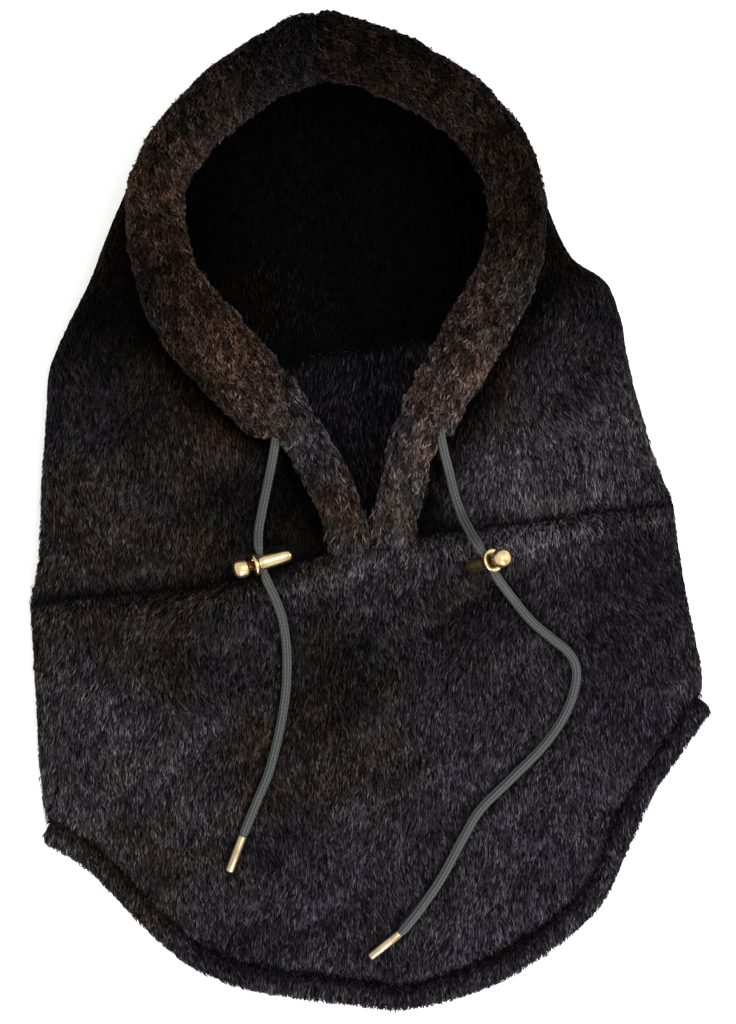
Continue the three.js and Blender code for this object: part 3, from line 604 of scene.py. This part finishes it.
def shell(points, normals, half):
    # a closed wall round a grid of middle points: outer face, inner face and the four rims
    rows, cols = points.shape[:2]
    cloud = np.concatenate([points + normals * half, points - normals * half]).reshape(-1, 3)
    i, j = np.meshgrid(np.arange(rows - 1), np.arange(cols - 1), indexing="ij")
    a = (i * cols + j).ravel()
    n = rows * cols
    outer = np.stack([a, a + 1, a + 1 + cols, a + cols], axis=1)
    inner = outer[:, [0, 3, 2, 1]] + n
    number = np.arange(n).reshape(rows, cols)
    rim = np.concatenate([number[0], number[1:, -1], number[-1, -2::-1], number[-2:0:-1, 0]])
    after = np.roll(rim, -1)
    edge = np.stack([after, rim, rim + n, after + n], axis=1)
    return cloud, facingOut(cloud, [np.concatenate([outer, inner, edge])])


def hoodGrid(half):
    # rows from the crown to the yoke, columns from just under the face roll round the side to the centre back
    u = np.concatenate([np.linspace(0, 13, 66)[:-1], np.linspace(13, 13.995, 18)])
    span = frontSpan(half, u)
    first = (np.maximum(column(half, "shift", u), 0) + 0.9 * column(half, "wide", np.minimum(u, 13.9))) / span
    # near the crown the wall goes further in, up to where its quarter ellipse drops below the roll
    low, high = column(half, "sideZ", u), column(half, "frontZ", u)
    under = np.clip((high - rollShape["meets"] - low) / (high - low), 0, 1)
    first = np.minimum(first, (1 - under ** wallShape["roundness"]) ** (1 / wallShape["roundness"]))[:, None]
    front = first + (1 - first) * np.linspace(0, 1, 36)[None]
    back = np.concatenate([np.linspace(0.03, 0.4, 12), np.linspace(0.45, 1, 14)])
    w = np.concatenate([front, 1 + np.repeat(back[None], len(u), axis=0)], axis=1)
    places = np.repeat(u[:, None], w.shape[1], axis=1)
    points = np.where((w <= 1)[..., None], frontPoint(half, places, np.clip(w, 0, 1)),
                      backPoint(half, places, np.clip(w - 1, 0, 1)))
    fromRoll = w * span[:, None] - (column(half, "shift", u) + column(half, "wide", u))[:, None]
    return points, gridNormals(points, -half["sign"]), w, places, fromRoll


def acrossBoth(pointAt, u, s):
    # the left half's points from its last place to its first, then the right half's from there on
    places, across = np.meshgrid(u, s, indexing="ij")
    leftPart, rightPart = pointAt(left, places, across), pointAt(right, places, across)
    return np.concatenate([leftPart[:, ::-1], rightPart[:, 1:]], axis=1)


def rollGrid(half):
    # an oval carried along the front line: its half width from the table, its half height from the width
    u = np.arange(0, wallShape["yoke"] + 0.001, rollShape["step"])
    wide = column(half, "wide", np.minimum(u, 13.99))
    deep = np.clip(rollShape["tall"] * wide, *rollShape["tallRange"]) * (1 - 0.5 * smoothStep(u, 12.8, 14.0))
    centre = frontPoint(half, u, np.maximum(column(half, "shift", u), 0) / frontSpan(half, u))
    centre[:, 2] = column(half, "frontZ", u) + deep - rollShape["sink"]
    centre[0, 0] -= half["sign"] * rollShape["seamLap"]  # the halves meet in the crown seam
    ahead = np.gradient(centre, axis=0)
    across = unit(np.stack([-ahead[:, 1], ahead[:, 0], np.zeros(len(u))], axis=1)) * half["sign"]
    # at the crown the oval's width turns to lie along the seam, over four rows
    upSeam = np.array([1, 0.6, 0.3, 0])[:, None]
    across[:4] = unit(across[:4] * (1 - upSeam) + np.array([0, 1, 0]) * upSeam)
    pinch = 1 - rollShape["seamPinch"] * np.exp(-(u / 0.14) ** 2)
    pinch = (pinch * np.sqrt(1 - np.clip((u - 13.85) / 0.2, 0, 1) ** 2 * 0.4))[:, None]
    turn = turnsOf(rollShape["sides"])
    # small gathers run round the roll, and its outside draws in at the eyelet
    gather = (1 + 0.02 * np.sin(u[:, None] * 5.3 + 2 * np.sin(turn))
              + 0.015 * np.sin(u[:, None] * 9.1 + 3 * turn))
    drawnIn = rollShape["eyelet"][half["sign"]] * np.exp(-((u - rollShape["eyeletAt"]) / 0.55) ** 2)
    outer = 1 - drawnIn[:, None] * np.maximum(np.cos(turn), 0)
    out = across[:, None] * (np.cos(turn) * wide[:, None] * pinch * gather * outer)[..., None]
    rise = np.sin(turn) * deep[:, None] * pinch * gather
    return centre[:, None] + out + rise[..., None] * np.array([0, 0, 1.0]), centre, wide, deep, turn


def clearOf(points, centres, wides, deeps, gap):
    # points inside an oval tube are moved level, straight away from its middle, to just outside it
    flat = points.reshape(-1, 3)
    near = np.argmin(((flat[:, None] - centres[None]) ** 2)[..., :2].sum(axis=-1), axis=1)
    level = flat[:, :2] - centres[near][:, :2]
    height = np.abs(flat[:, 2] - centres[near][:, 2]) / deeps[near]
    room = (wides[near] + gap) * np.sqrt(np.maximum(1 - height ** 2, 0))
    push = np.maximum(room / np.maximum(np.linalg.norm(level, axis=1), 1e-6), 1)
    flat[:, :2] = centres[near][:, :2] + level * push[:, None]
    return flat.reshape(points.shape)


def hemGrid(edge, heights):
    # an oval tube just inside the hem's edge, rounded off over the last few mm at both ends
    ahead = np.gradient(edge, axis=0)
    across = unit(np.stack([-ahead[:, 1], ahead[:, 0], np.zeros(len(edge))], axis=1))
    centre = edge - across * hemShape["reach"]
    centre[:, 2] = heights
    run = np.concatenate([[0], np.cumsum(np.linalg.norm(np.diff(centre, axis=0), axis=1))])
    toEnd = np.minimum(run, run[-1] - run) / hemShape["ends"]
    ends = np.sqrt(1 - 0.5 * np.clip(1 - toEnd, 0, 1) ** 2)[:, None]
    out = across[:, None] * (np.cos(hemTurn) * hemShape["wide"] * ends)[..., None]
    rise = (np.sin(hemTurn) * hemShape["deep"] * ends)[..., None] * np.array([0, 0, 1.0])
    return centre[:, None] + out + rise


hoods = {"left": hoodGrid(left), "right": hoodGrid(right)}
bibRows = np.concatenate([np.linspace(14.005, 15, 24)[:-1], np.linspace(15, 18.93, 66)])
bibPoints = acrossBoth(frontPoint, bibRows, 1 - (1 - np.linspace(0, 1, 46)) ** 1.6)
bibNormals = gridNormals(bibPoints, -1)
backRows = np.concatenate([np.linspace(14.005, 15, 12)[:-1], np.linspace(15, 18.94, 30)])
backPlaces = np.concatenate([np.linspace(0.02, 0.4, 12), np.linspace(0.45, 1, 14)])
backPoints = acrossBoth(backPoint, backRows, backPlaces[::-1])
backNormals = gridNormals(backPoints, 1)
rolls = {"left": rollGrid(left), "right": rollGrid(right)}
# the right roll gives way to the left one, apart from the rows at the crown seam, where they meet
rightPoints = clearOf(rolls["right"][0].copy(), *rolls["left"][1:4], 0.3)
rightPoints[:20] = rolls["right"][0][:20]
rolls["right"] = (rightPoints,) + rolls["right"][1:]
hemTurn = turnsOf(hemShape["sides"])
hemEdge = acrossBoth(frontPoint, [wallShape["hem"]], np.linspace(0, 1, 90))[0]
hemFront = hemGrid(hemEdge, np.maximum(hemEdge[:, 2], hemShape["frontLift"]))
hemBack = hemGrid(acrossBoth(backPoint, [wallShape["hem"]], np.linspace(1, 0, 60))[0], hemShape["backLift"])
print("surfaces")

# how the dye leans, 0 brown, 0.5 grey, 1 blue-violet, and the light column, at places seen from above:
# painted light and shade by place, partly the light the brushed nap gives back, darker where the strands
# stand towards the eye
dyeAndPaintedLightRows = np.array([  # x, y, reach, lean, light
    [-27, 238, 45, 0.2, 0.17], [-88, 200, 32, 0.15, 0.6], [-112, 150, 30, 0.1, 0.7],
    [-80, 85, 28, 0.1, 1.0], [-52, 52, 22, 0.15, 1.4], [-14, 10, 20, 0.25, 0.9], [50, 205, 34, 0.2, 0.33],
    [78, 150, 28, 0.2, 0.28], [64, 104, 20, 0.35, 1.0], [40, 60, 20, 0.25, 1.4], [16, 20, 18, 0.4, 1.7],
    [-128, 100, 28, 0.4, 0.02], [-140, 55, 26, 0.6, 0.4], [-112, 45, 20, 0.4, 0.25],
    [-130, 0, 34, 0.45, 0.8], [-70, 10, 16, 0.5, 0.2], [-44, -4, 14, 0.4, 0.12], [-90, -22, 24, 0.3, 0.55],
    [-135, -36, 24, 0.45, 0.65], [108, 90, 24, 0.6, 0.45], [115, 45, 28, 0.55, 1.25], [27, 2, 9, 0.5, 0.12],
    [60, 28, 15, 0.6, 1.4], [90, 5, 30, 0.6, 1.9], [140, 20, 24, 0.7, 1.2], [-110, -62, 26, 0.3, 0.4],
    [-128, -115, 34, 0.6, 1.5], [-60, -66, 24, 0.65, 0.75], [5, -35, 22, 0.55, 1.1],
    [-20, -85, 26, 0.45, 0.3], [-100, -165, 34, 0.45, 1.0], [-40, -130, 24, 0.3, 0.65],
    [0, -125, 26, 0.45, 1.15], [-20, -200, 44, 0.75, 1.0], [45, -60, 26, 0.5, 0.5],
    [70, -95, 34, 0.8, 1.15], [120, -38, 34, 0.8, 0.5], [135, -85, 34, 0.8, 0.9], [80, -160, 44, 0.8, 1.15],
    [-20, 60, 30, 0.9, 1.0], [-20, 150, 40, 0.5, 1.0]])


def napField(points, values):
    # the rows' values averaged by bell weights
    x, y = points[..., 0:1], points[..., 1:2]
    near = np.exp(-((x - dyeAndPaintedLightRows[:, 0]) ** 2 + (y - dyeAndPaintedLightRows[:, 1]) ** 2) / dyeAndPaintedLightRows[:, 2] ** 2) + 1e-7
    return (near * values).sum(axis=-1) / near.sum(axis=-1)


def dyeLean(points):
    # the lean of the dye with patches some 25 mm wide
    x, y, z = np.moveaxis(points, -1, 0)
    patches = np.sin(x / 9 + 2.2 * np.sin(y / 14)) * np.sin(y / 11 + 1.7 * np.sin(x / 16 + z / 12))
    return np.clip(napField(points, dyeAndPaintedLightRows[:, 3]) + 0.13 * patches, 0, 1)


def napAndPaintedLight(points):
    # painted light and shade by place, partly the nap's, with brushed streaks and patches 15 to 40 mm wide
    x, y, z = np.moveaxis(points, -1, 0)
    patches = np.sin(x / 6.5 + 2 * np.sin(y / 13) + 1) * np.sin(y / 8 + 1.6 * np.sin(x / 12 - z / 9))
    broad = np.sin(x / 17 - y / 29 + 1.5 * np.sin(y / 21)) * np.sin(y / 19 + x / 37 + 2)
    return napField(points, dyeAndPaintedLightRows[:, 4]) * (1 + 0.18 * patches + 0.2 * broad)


def addWall(name, points, normals, node, inside=0.1):
    # the backing of a panel, its inner face painted in shade, as bright as the share given of the outer one
    cloud, faces = shell(points, normals, wallShape["backingHalf"])
    tone = np.repeat([1.0, inside], len(cloud) // 2)
    piece = makePiece(name, cloud, faces, backing,
                      values={"cool": dyeLean(cloud), "tone": tone * napAndPaintedLight(cloud)})
    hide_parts(node)


def addTube(name, points, node, inset):
    # the backing of a padded tube, set in for its pile, and its skin with the first column again at the end
    around = np.roll(points, -1, axis=1) - np.roll(points, 1, axis=1)
    normals = unit(np.cross(around, np.gradient(points, axis=0)))
    outwards = np.sign(np.einsum("ijk,ijk->ij", normals, points - points.mean(axis=1, keepdims=True)))
    normals = normals * outwards[..., None]
    skin = points - normals * inset
    cloud = closedTube(skin)
    piece = makePiece(name, cloud, facingOut(cloud, tubeFaces(*skin.shape[:2])), backing,
                      values={"cool": dyeLean(cloud), "tone": napAndPaintedLight(cloud)})
    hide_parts(node)
    return [np.concatenate([grid, grid[:, :1]], axis=1) for grid in (skin, normals)]


for side, (points, normals, *_) in hoods.items():
    addWall(f"hood_{side}_cloth", points, normals, f"hood_{side}")
addWall("front_bib_cloth", bibPoints, bibNormals, "front_bib")
addWall("back_bib_cloth", backPoints, backNormals, "back_bib", 0.4)
rollSkins = {side: addTube(f"roll_{side}_padding", roll[0], f"roll_{side}", rollShape["inset"])
             for side, roll in rolls.items()}
hemFrontSkin = addTube("hem_front_tube", hemFront, "hem_front", hemShape["inset"])
hemBackSkin = addTube("hem_back_tube", hemBack, "hem_back", hemShape["inset"])
print("cloth")

# The pile is tapered strands in joined meshes, three triangles each. A real fibre is some 0.02 mm thick, so a
# strand stands for a tuft of them. Sizes in mm; the tones are shares of the tip's full colour.
strand = {"long": 4.9, "wide": 0.66, "rise": 2.4, "clump": 2.2, "gather": 0.55, "stray": 0.09, "sway": 0.4,
          "rootTone": 0.02, "tipTone": 0.71}
tuftGrain = np.array([0.75, 1.9, 1.2])  # a tuft's size along X, Y and Z for a clump of 1

# which way the pile lies, seen from above: it runs down towards the hem, and turns off at these places
combRows = np.array([  # x, y, reach, towards x, towards y, share
    [-165, -60, 22, -0.7, -0.7, 0.6], [-168, -130, 22, -0.7, -0.7, 0.5], [-100, -50, 30, -0.4, -0.9, 0.4],
    [-95, 150, 35, 0.6, -0.8, 0.7], [-60, 200, 35, 0.5, -0.9, 0.7], [50, 190, 35, -0.5, -0.9, 0.6],
    [70, 140, 30, -0.5, -0.9, 0.6], [-70, 80, 35, -0.35, -0.9, 0.6], [50, 75, 35, 0.4, -0.9, 0.6],
    [120, 40, 40, 0.5, -0.9, 0.6], [150, -60, 40, 0.7, -0.7, 0.6]])


def combed(points):
    # the lie of the pile as level directions, eased between the rows by bell weights and swirled a little
    x, y = points[:, 0], points[:, 1]
    lie = np.stack([np.zeros_like(x), -np.ones_like(x), np.zeros_like(x)], axis=1)
    for atX, atY, reach, towardsX, towardsY, share in combRows:
        near = share * np.exp(-(((x - atX) ** 2 + (y - atY) ** 2) / reach ** 2))
        lie = lie * (1 - near)[:, None] + np.array([towardsX, towardsY, 0]) * near[:, None]
    swirl = 0.16 * np.sin(x / 14 + 2 * np.sin(y / 19)) + 0.12 * np.sin(y / 11 - x / 23 + 1.5 * np.sin(x / 13))
    c, s = np.cos(swirl), np.sin(swirl)
    return np.stack([lie[:, 0] * c - lie[:, 1] * s, lie[:, 0] * s + lie[:, 1] * c, lie[:, 2]], axis=1)


def hashed(cells, seed):
    # a number from 0 to 1 for each cell, from the fraction of a large sine
    mixed = cells @ np.array([12.9898, 78.233, 37.719]) + seed
    return np.modf(np.abs(np.sin(mixed) * 43758.5453))[0]


def linePoints(start, end, radius, step=1.5):
    count = max(int(np.linalg.norm(end - start) / step), 2)
    line = start + (end - start) * np.linspace(0, 1, count)[:, None]
    return np.concatenate([line, np.full((count, 1), radius)], axis=1)


def lyingPieces():
    # points along the cords, locks and tips, each with the half width that presses on the pile
    rows = []
    for side, lock in locks.items():
        path = cords[side][1]
        rows.append(np.concatenate([path, np.full((len(path), 1), cordShape["presses"])], axis=1))
        axis, at = unit(np.array(lock["towardsTip"])), np.array(lock["at"])
        rows.append(linePoints(at - axis * lockShape["cross"], at + axis * lock["lies"], 5.0))
        start, end = [np.array(p) for p in cordRoutes[side]["tip"]]
        rows.append(linePoints(start, start + unit(end - start) * tipShape["long"], 2.4))
    return np.concatenate(rows).astype(np.float32)


lying = lyingPieces()


def pressedUnder(points):
    # 0 where something lies on the pile, rising to 1 some 3 mm beside it
    near = np.full(len(points), 99, np.float32)
    for x, y, z, radius in lying:
        near = np.minimum(near, np.hypot(points[:, 0] - x, points[:, 1] - y) - radius)
    return smoothStep(near, -0.5, 3.0)


usualScale = dict.fromkeys(("long", "wide", "rise", "bright", "clump", "stray", "sway", "contrast"), 1.0)
plain = np.ones((1, 1))


def makePile(name, surface, normals, count, scale, weights=plain, tones=plain, longs=plain, leans=plain * 0,
             lies=np.zeros((1, 1, 3))):
    # Strands on a grid of points: cells picked by their area and weight, roots inside them, and tips drawn
    # sideways towards the middle of their tuft. The other grids say, place by place, how bright and how long
    # the strands are, how their dye leans, and which way they lie besides the comb's.
    scale = {**usualScale, **scale}
    a, b, c, d = surface[:-1, :-1], surface[:-1, 1:], surface[1:, 1:], surface[1:, :-1]
    area = 0.5 * np.linalg.norm(np.cross(c - a, d - b), axis=-1)
    weights = np.broadcast_to(weights, surface.shape[:2])
    area = area * 0.25 * (weights[:-1, :-1] + weights[:-1, 1:] + weights[1:, 1:] + weights[1:, :-1])
    cell = draws.choice(area.size, count, p=area.ravel() / area.sum())
    i, j = np.unravel_index(cell, area.shape)
    s, t = draws.uniform(0, 1, (2, count, 1))

    def inside(grid):
        # a grid's value at each root, between the four corners of its cell
        grid = np.broadcast_to(grid, surface.shape[:2] + grid.shape[2:])
        return ((grid[i, j] * (1 - t) + grid[i, j + 1] * t) * (1 - s)
                + (grid[i + 1, j] * (1 - t) + grid[i + 1, j + 1] * t) * s)

    root, up = inside(surface), unit(inside(normals))
    lie = unit(combed(root) + inside(lies)) + draws.normal(0, strand["stray"] * scale["stray"], (count, 3))
    lie = unit(lie - up * np.einsum("ij,ij->i", lie, up)[:, None])
    over = np.cross(up, lie)
    # tufts are cells of space, warped so that they don't line up
    grain = strand["clump"] * scale["clump"] * tuftGrain
    warped = root + 1.6 * np.sin(root[:, [1, 2, 0]] / 3.7 + root[:, [2, 0, 1]] / 5.9)
    cells = np.floor(warped / grain)
    middle = (cells + 0.2 + 0.6 * np.stack([hashed(cells, k) for k in (1, 2, 3)], axis=1)) * grain
    pull = over * np.einsum("ij,ij->i", middle - warped, over)[:, None] * strand["gather"]
    tuftTone = hashed(cells, 5)[:, None]
    long = strand["long"] * scale["long"] * draws.uniform(0.65, 1.25, (count, 1)) * inside(longs[..., None])
    rise = strand["rise"] * scale["rise"] * (0.45 + 0.65 * draws.uniform(0, 1, (count, 1)) + 0.35 * tuftTone)
    # strands lie flatter under the cords and where the surface faces sideways
    free = pressedUnder(root + lie * 0.6 * long)[:, None]
    long = long * (0.45 + 0.55 * free)
    rise = rise * (0.15 + 0.85 * free) * (0.35 + 0.65 * smoothStep(up[:, 2:], 0.1, 0.75))
    sway = draws.normal(0, strand["sway"] * scale["sway"], (count, 1))
    roll = draws.normal(0, 0.6, (count, 1))
    wide = strand["wide"] * scale["wide"] * draws.uniform(0.7, 1.2, (count, 1))
    edge = (over * np.cos(roll) + up * np.sin(roll)) * wide / 2
    bend = root + lie * long * 0.5 + up * rise * 0.85 + over * sway + pull * 0.4
    tip = root + lie * long + up * rise * 0.8 - over * sway * 0.4 + pull
    points = np.stack([root - edge * 0.8, root + edge * 0.8, bend - edge, bend + edge, tip], axis=1)
    points[..., 2] = np.maximum(points[..., 2], 0.15)
    base = np.arange(count)[:, None] * 5
    faces = [base + np.array([1, 0, 2, 3]), base + np.array([3, 2, 4])]
    light = napAndPaintedLight(root)[:, None] * scale["bright"] * inside(tones[..., None])
    contrast = scale["contrast"]
    tone = draws.beta(1.2, 2.6, (count, 1)) * (1 - 0.65 * contrast + contrast * tuftTone)
    shade = light * (strand["rootTone"] + strand["tipTone"] * tone)
    cool = dyeLean(root) + draws.normal(0, 0.07, count) + inside(leans[..., None]).ravel()
    makePiece(name, points.reshape(-1, 3), faces, pile,
              values={"along": np.tile([0.12, 0.12, 0.6, 0.6, 1.0], count),
                      "shade": np.repeat(shade.ravel(), 5), "cool": np.repeat(cool, 5)})


def outward(points, normals, side=1):
    # the roots lie a little inside the backing's face, 1 for the outer side and -1 for the inner
    return points + normals * wallShape["backingHalf"] * side * 0.9, normals * side


def bell(x, wide):
    return np.exp(-(x / wide) ** 2)


# painted shade and painted light: how much darker the pile is painted in the roll's valley, in the yoke seam
# from above and below, and at the hem's lip, and how much lighter it is painted on the ridge below the yoke
paintedSeamShadeAndLight = {"valley": {"left": 0.93, "right": 0.81}, "valleyWide": 20.0, "yoke": 0.85, "yokeWide": 0.36,
            "below": 0.55, "ridge": 0.9, "lip": 0.78}

for side, count in (("left", 42000), ("right", 30000)):
    points, normals, w, u, fromRoll = hoods[side]
    # painted shade in the roll's valley and along the yoke seam
    valley = paintedSeamShadeAndLight["valley"][side] * bell(np.maximum(fromRoll, 0), paintedSeamShadeAndLight["valleyWide"]) * (w <= 1)
    paintedYokeShade = paintedSeamShadeAndLight["yoke"] * bell(wallShape["yoke"] - u, paintedSeamShadeAndLight["yokeWide"])
    surface, up = outward(points[:, :52], normals[:, :52])
    makePile(f"hood_{side}_pile", surface, up, count, {}, tones=((1 - valley) * (1 - paintedYokeShade))[:, :52],
             weights=np.where(w <= 1, 1.0, 0.55 - 0.35 * (w - 1) / 0.5)[:, :52])
    surface, up = outward(points[:, 44:], normals[:, 44:], -1)
    # a little light reaches the far wall at the lower left of the opening
    reached = 1 + (side == "left") * 8 * bell(surface[..., 0] + 52, 28) * bell(surface[..., 1] - 105, 32)
    # the pile inside the hood is painted in shade, a fiftieth as bright
    makePile(f"hood_{side}_inner_pile", surface, up, 7000, {"bright": 0.02}, tones=reached)
    surface, up = outward(points[:, 48:], normals[:, 48:])
    makePile(f"hood_{side}_under_pile", surface, up, 3500, {"long": 1.3, "wide": 1.4, "rise": 0.3})

surface, up = outward(bibPoints, bibNormals)
belowYoke = bibRows[:, None] - wallShape["yoke"]
fromHem = np.linalg.norm(surface - surface[-1:], axis=-1)
# painted shade under the yoke seam, less under the roll's legs, painted light on the ridge below it, and
# painted shade at the hem's lip
underLegs = 1 - 0.85 * bell(surface[..., 0] + 12, 32)
bibPaintedShadeAndLight = ((1 - paintedSeamShadeAndLight["below"] * bell(belowYoke, 0.07) * underLegs)
           * (1 + paintedSeamShadeAndLight["ridge"] * bell(belowYoke - 0.25, 0.15))
           * (1 - paintedSeamShadeAndLight["lip"] * (1 - smoothStep(fromHem, 2.0, 6.0))))
bibLong = 1 - 0.6 * (1 - smoothStep(fromHem, 3, 9))
for side, part in (("left", slice(None, 46)), ("right", slice(45, None))):
    makePile(f"front_bib_{side}_pile", surface[:, part], up[:, part], 46000, {}, tones=bibPaintedShadeAndLight[:, part],
             longs=bibLong[:, part])
makePile("back_bib_under_pile", *outward(backPoints, backNormals), 7000,
         {"long": 1.3, "wide": 1.4, "rise": 0.4})
# the inner pile at the back is painted in shade, 0.6 as bright
makePile("back_bib_inner_pile", *outward(backPoints[:18, 14:-14], backNormals[:18, 14:-14], -1), 8500,
         {"bright": 0.6, "contrast": 0.6})

rollPile = {"wide": 1.35, "clump": 1.45, "stray": 2.0, "sway": 2.0, "contrast": 1.25, "rise": 1.5,
            "bright": 1.2}
turn = np.append(rolls["left"][4], 2 * np.pi)
outer, top = np.cos(turn), np.sin(turn)
# painted shade and light: the roll's outer flank is painted darker towards its underside, its inner edge
# painted lighter, and the stitched edge of the cord's channel is a dark line along it at a third of its width
flank = np.where(outer > 0, 0.3 + 0.7 * smoothStep(top, -0.2, 0.6), 1 + 0.4 * smoothStep(-outer, 0.75, 1))
onStitch = 0.45 * bell(outer - 0.45, 0.1) * (top > 0)
for side, count in (("left", 30000), ("right", 28000)):
    surface, up = rollSkins[side]
    place = (np.arange(len(surface)) * rollShape["step"])[:, None]
    tones = flank * (1 - onStitch * smoothStep(place, 2.5, 4) * (1 - smoothStep(place, 7.5, 9)))
    longs = ((1 + 0.35 * smoothStep(place, wallShape["yoke"] - 0.8, wallShape["yoke"]))
             * (0.85 + 0.35 * smoothStep(place, 9.5, 11.5)))
    share, leans = np.full((len(place), 1), 1.6), plain * 0
    if side == "left":
        # the left roll's outer flank lies in shade below the cheek, its crown and inner edge lean blue
        shade = 0.6 * smoothStep(place, 6, 8) * (1 - smoothStep(place, 9.8, 10.4))
        tones = tones * (1 - shade * smoothStep(outer, 0.25, 0.75))
        share = 0.9 * smoothStep(place, 3, 8)
        leans = 0.3 * bell(place, 1.6) + 0.4 * smoothStep(-outer, 0.85, 1)
    alongRoll = unit(np.gradient(rolls[side][1], axis=0))
    makePile(f"roll_{side}_pile", surface, up, count, rollPile, tones=tones, longs=longs, leans=leans,
             weights=np.where(up[..., 2] > -0.45, 1.0, 0.08), lies=(alongRoll * share)[:, None])

# painted shade: the hem tubes' pile darker round one side of its oval
paintedHemShade = 1 - 0.6 * smoothStep(np.cos(np.append(hemTurn, 2 * np.pi)), 0.2, 0.85)
for name, skin, count in (("hem_front_pile", hemFrontSkin, 13000), ("hem_back_pile", hemBackSkin, 6000)):
    makePile(name, *skin, count, {"long": 0.8, "rise": 0.8, "bright": 1.05}, tones=paintedHemShade[None])
print("pile")

# the floor is matt white paper with painted light: it glows a little round the garment, not under it, to keep
# the shadow faint.
floorMesh = bpy.data.meshes.new("floor")
floorMesh.from_pydata([(-6, -6, 0), (6, -6, 0), (6, 6, 0), (-6, 6, 0)], [], [(0, 1, 2, 3)])
floor = addObject("floor", floorMesh)
paper, paperTree = newMaterial("mattWhitePaperWithPaintedGlow")
fromOrigin = addNode(paperTree, "ShaderNodeVectorMath", {"operation": "LENGTH"},
                     {0: addNode(paperTree, "ShaderNodeTexCoord").outputs["Object"]})
lit = addNode(paperTree, "ShaderNodeMapRange", {"From Min": 0.13, "From Max": 0.17, "To Max": 0.3},
              {"Value": fromOrigin.outputs["Value"]})
finishMaterial(paperTree, {"Base Color": linear("#f4f4f2"), "Roughness": 0.9, "Specular IOR Level": 0.1,
                           "Emission Color": linear("#ffffff")}, {"Emission Strength": lit.outputs[0]})
floorMesh.materials.append(paper)

# soft studio light: round lamps with their place and size in m and power in W, and an even sky
lamps = {"keyLight": ((0.5, -1.9, 1.4), 1.1, 54.0), "topLight": ((1.05, 0.25, 2.2), 1.5, 20.0),
         "sideLight": ((2.0, 0.4, 0.7), 1.0, 7.0)}
for name, (place, size, power) in lamps.items():
    data = bpy.data.lights.new(name, "AREA")
    data.shape = "DISK"
    data.size = size
    data.energy = power
    lamp = addObject(name, data)
    x, y, z = place
    lamp.location = place
    lamp.rotation_euler = (math.atan2(math.hypot(x, y), z), 0, math.atan2(x, -y))
skyLook = {"strength": 1.3, "horizon": 0.7}
world = bpy.data.worlds.new("studio")
world.use_nodes = True
scene.world = world
sky = world.node_tree
sky.nodes.clear()
direction = addNode(sky, "ShaderNodeTexCoord").outputs["Generated"]
height = addNode(sky, "ShaderNodeSeparateXYZ", links={0: direction}).outputs["Z"]
glow = addNode(sky, "ShaderNodeMapRange", {"To Min": skyLook["horizon"]}, {"Value": height})
background = addNode(sky, "ShaderNodeBackground", {"Strength": skyLook["strength"]},
                     {"Color": glow.outputs[0]})
addNode(sky, "ShaderNodeOutputWorld", links={"Surface": background.outputs[0]})
scene.view_settings.view_transform = "Standard"
print("light")
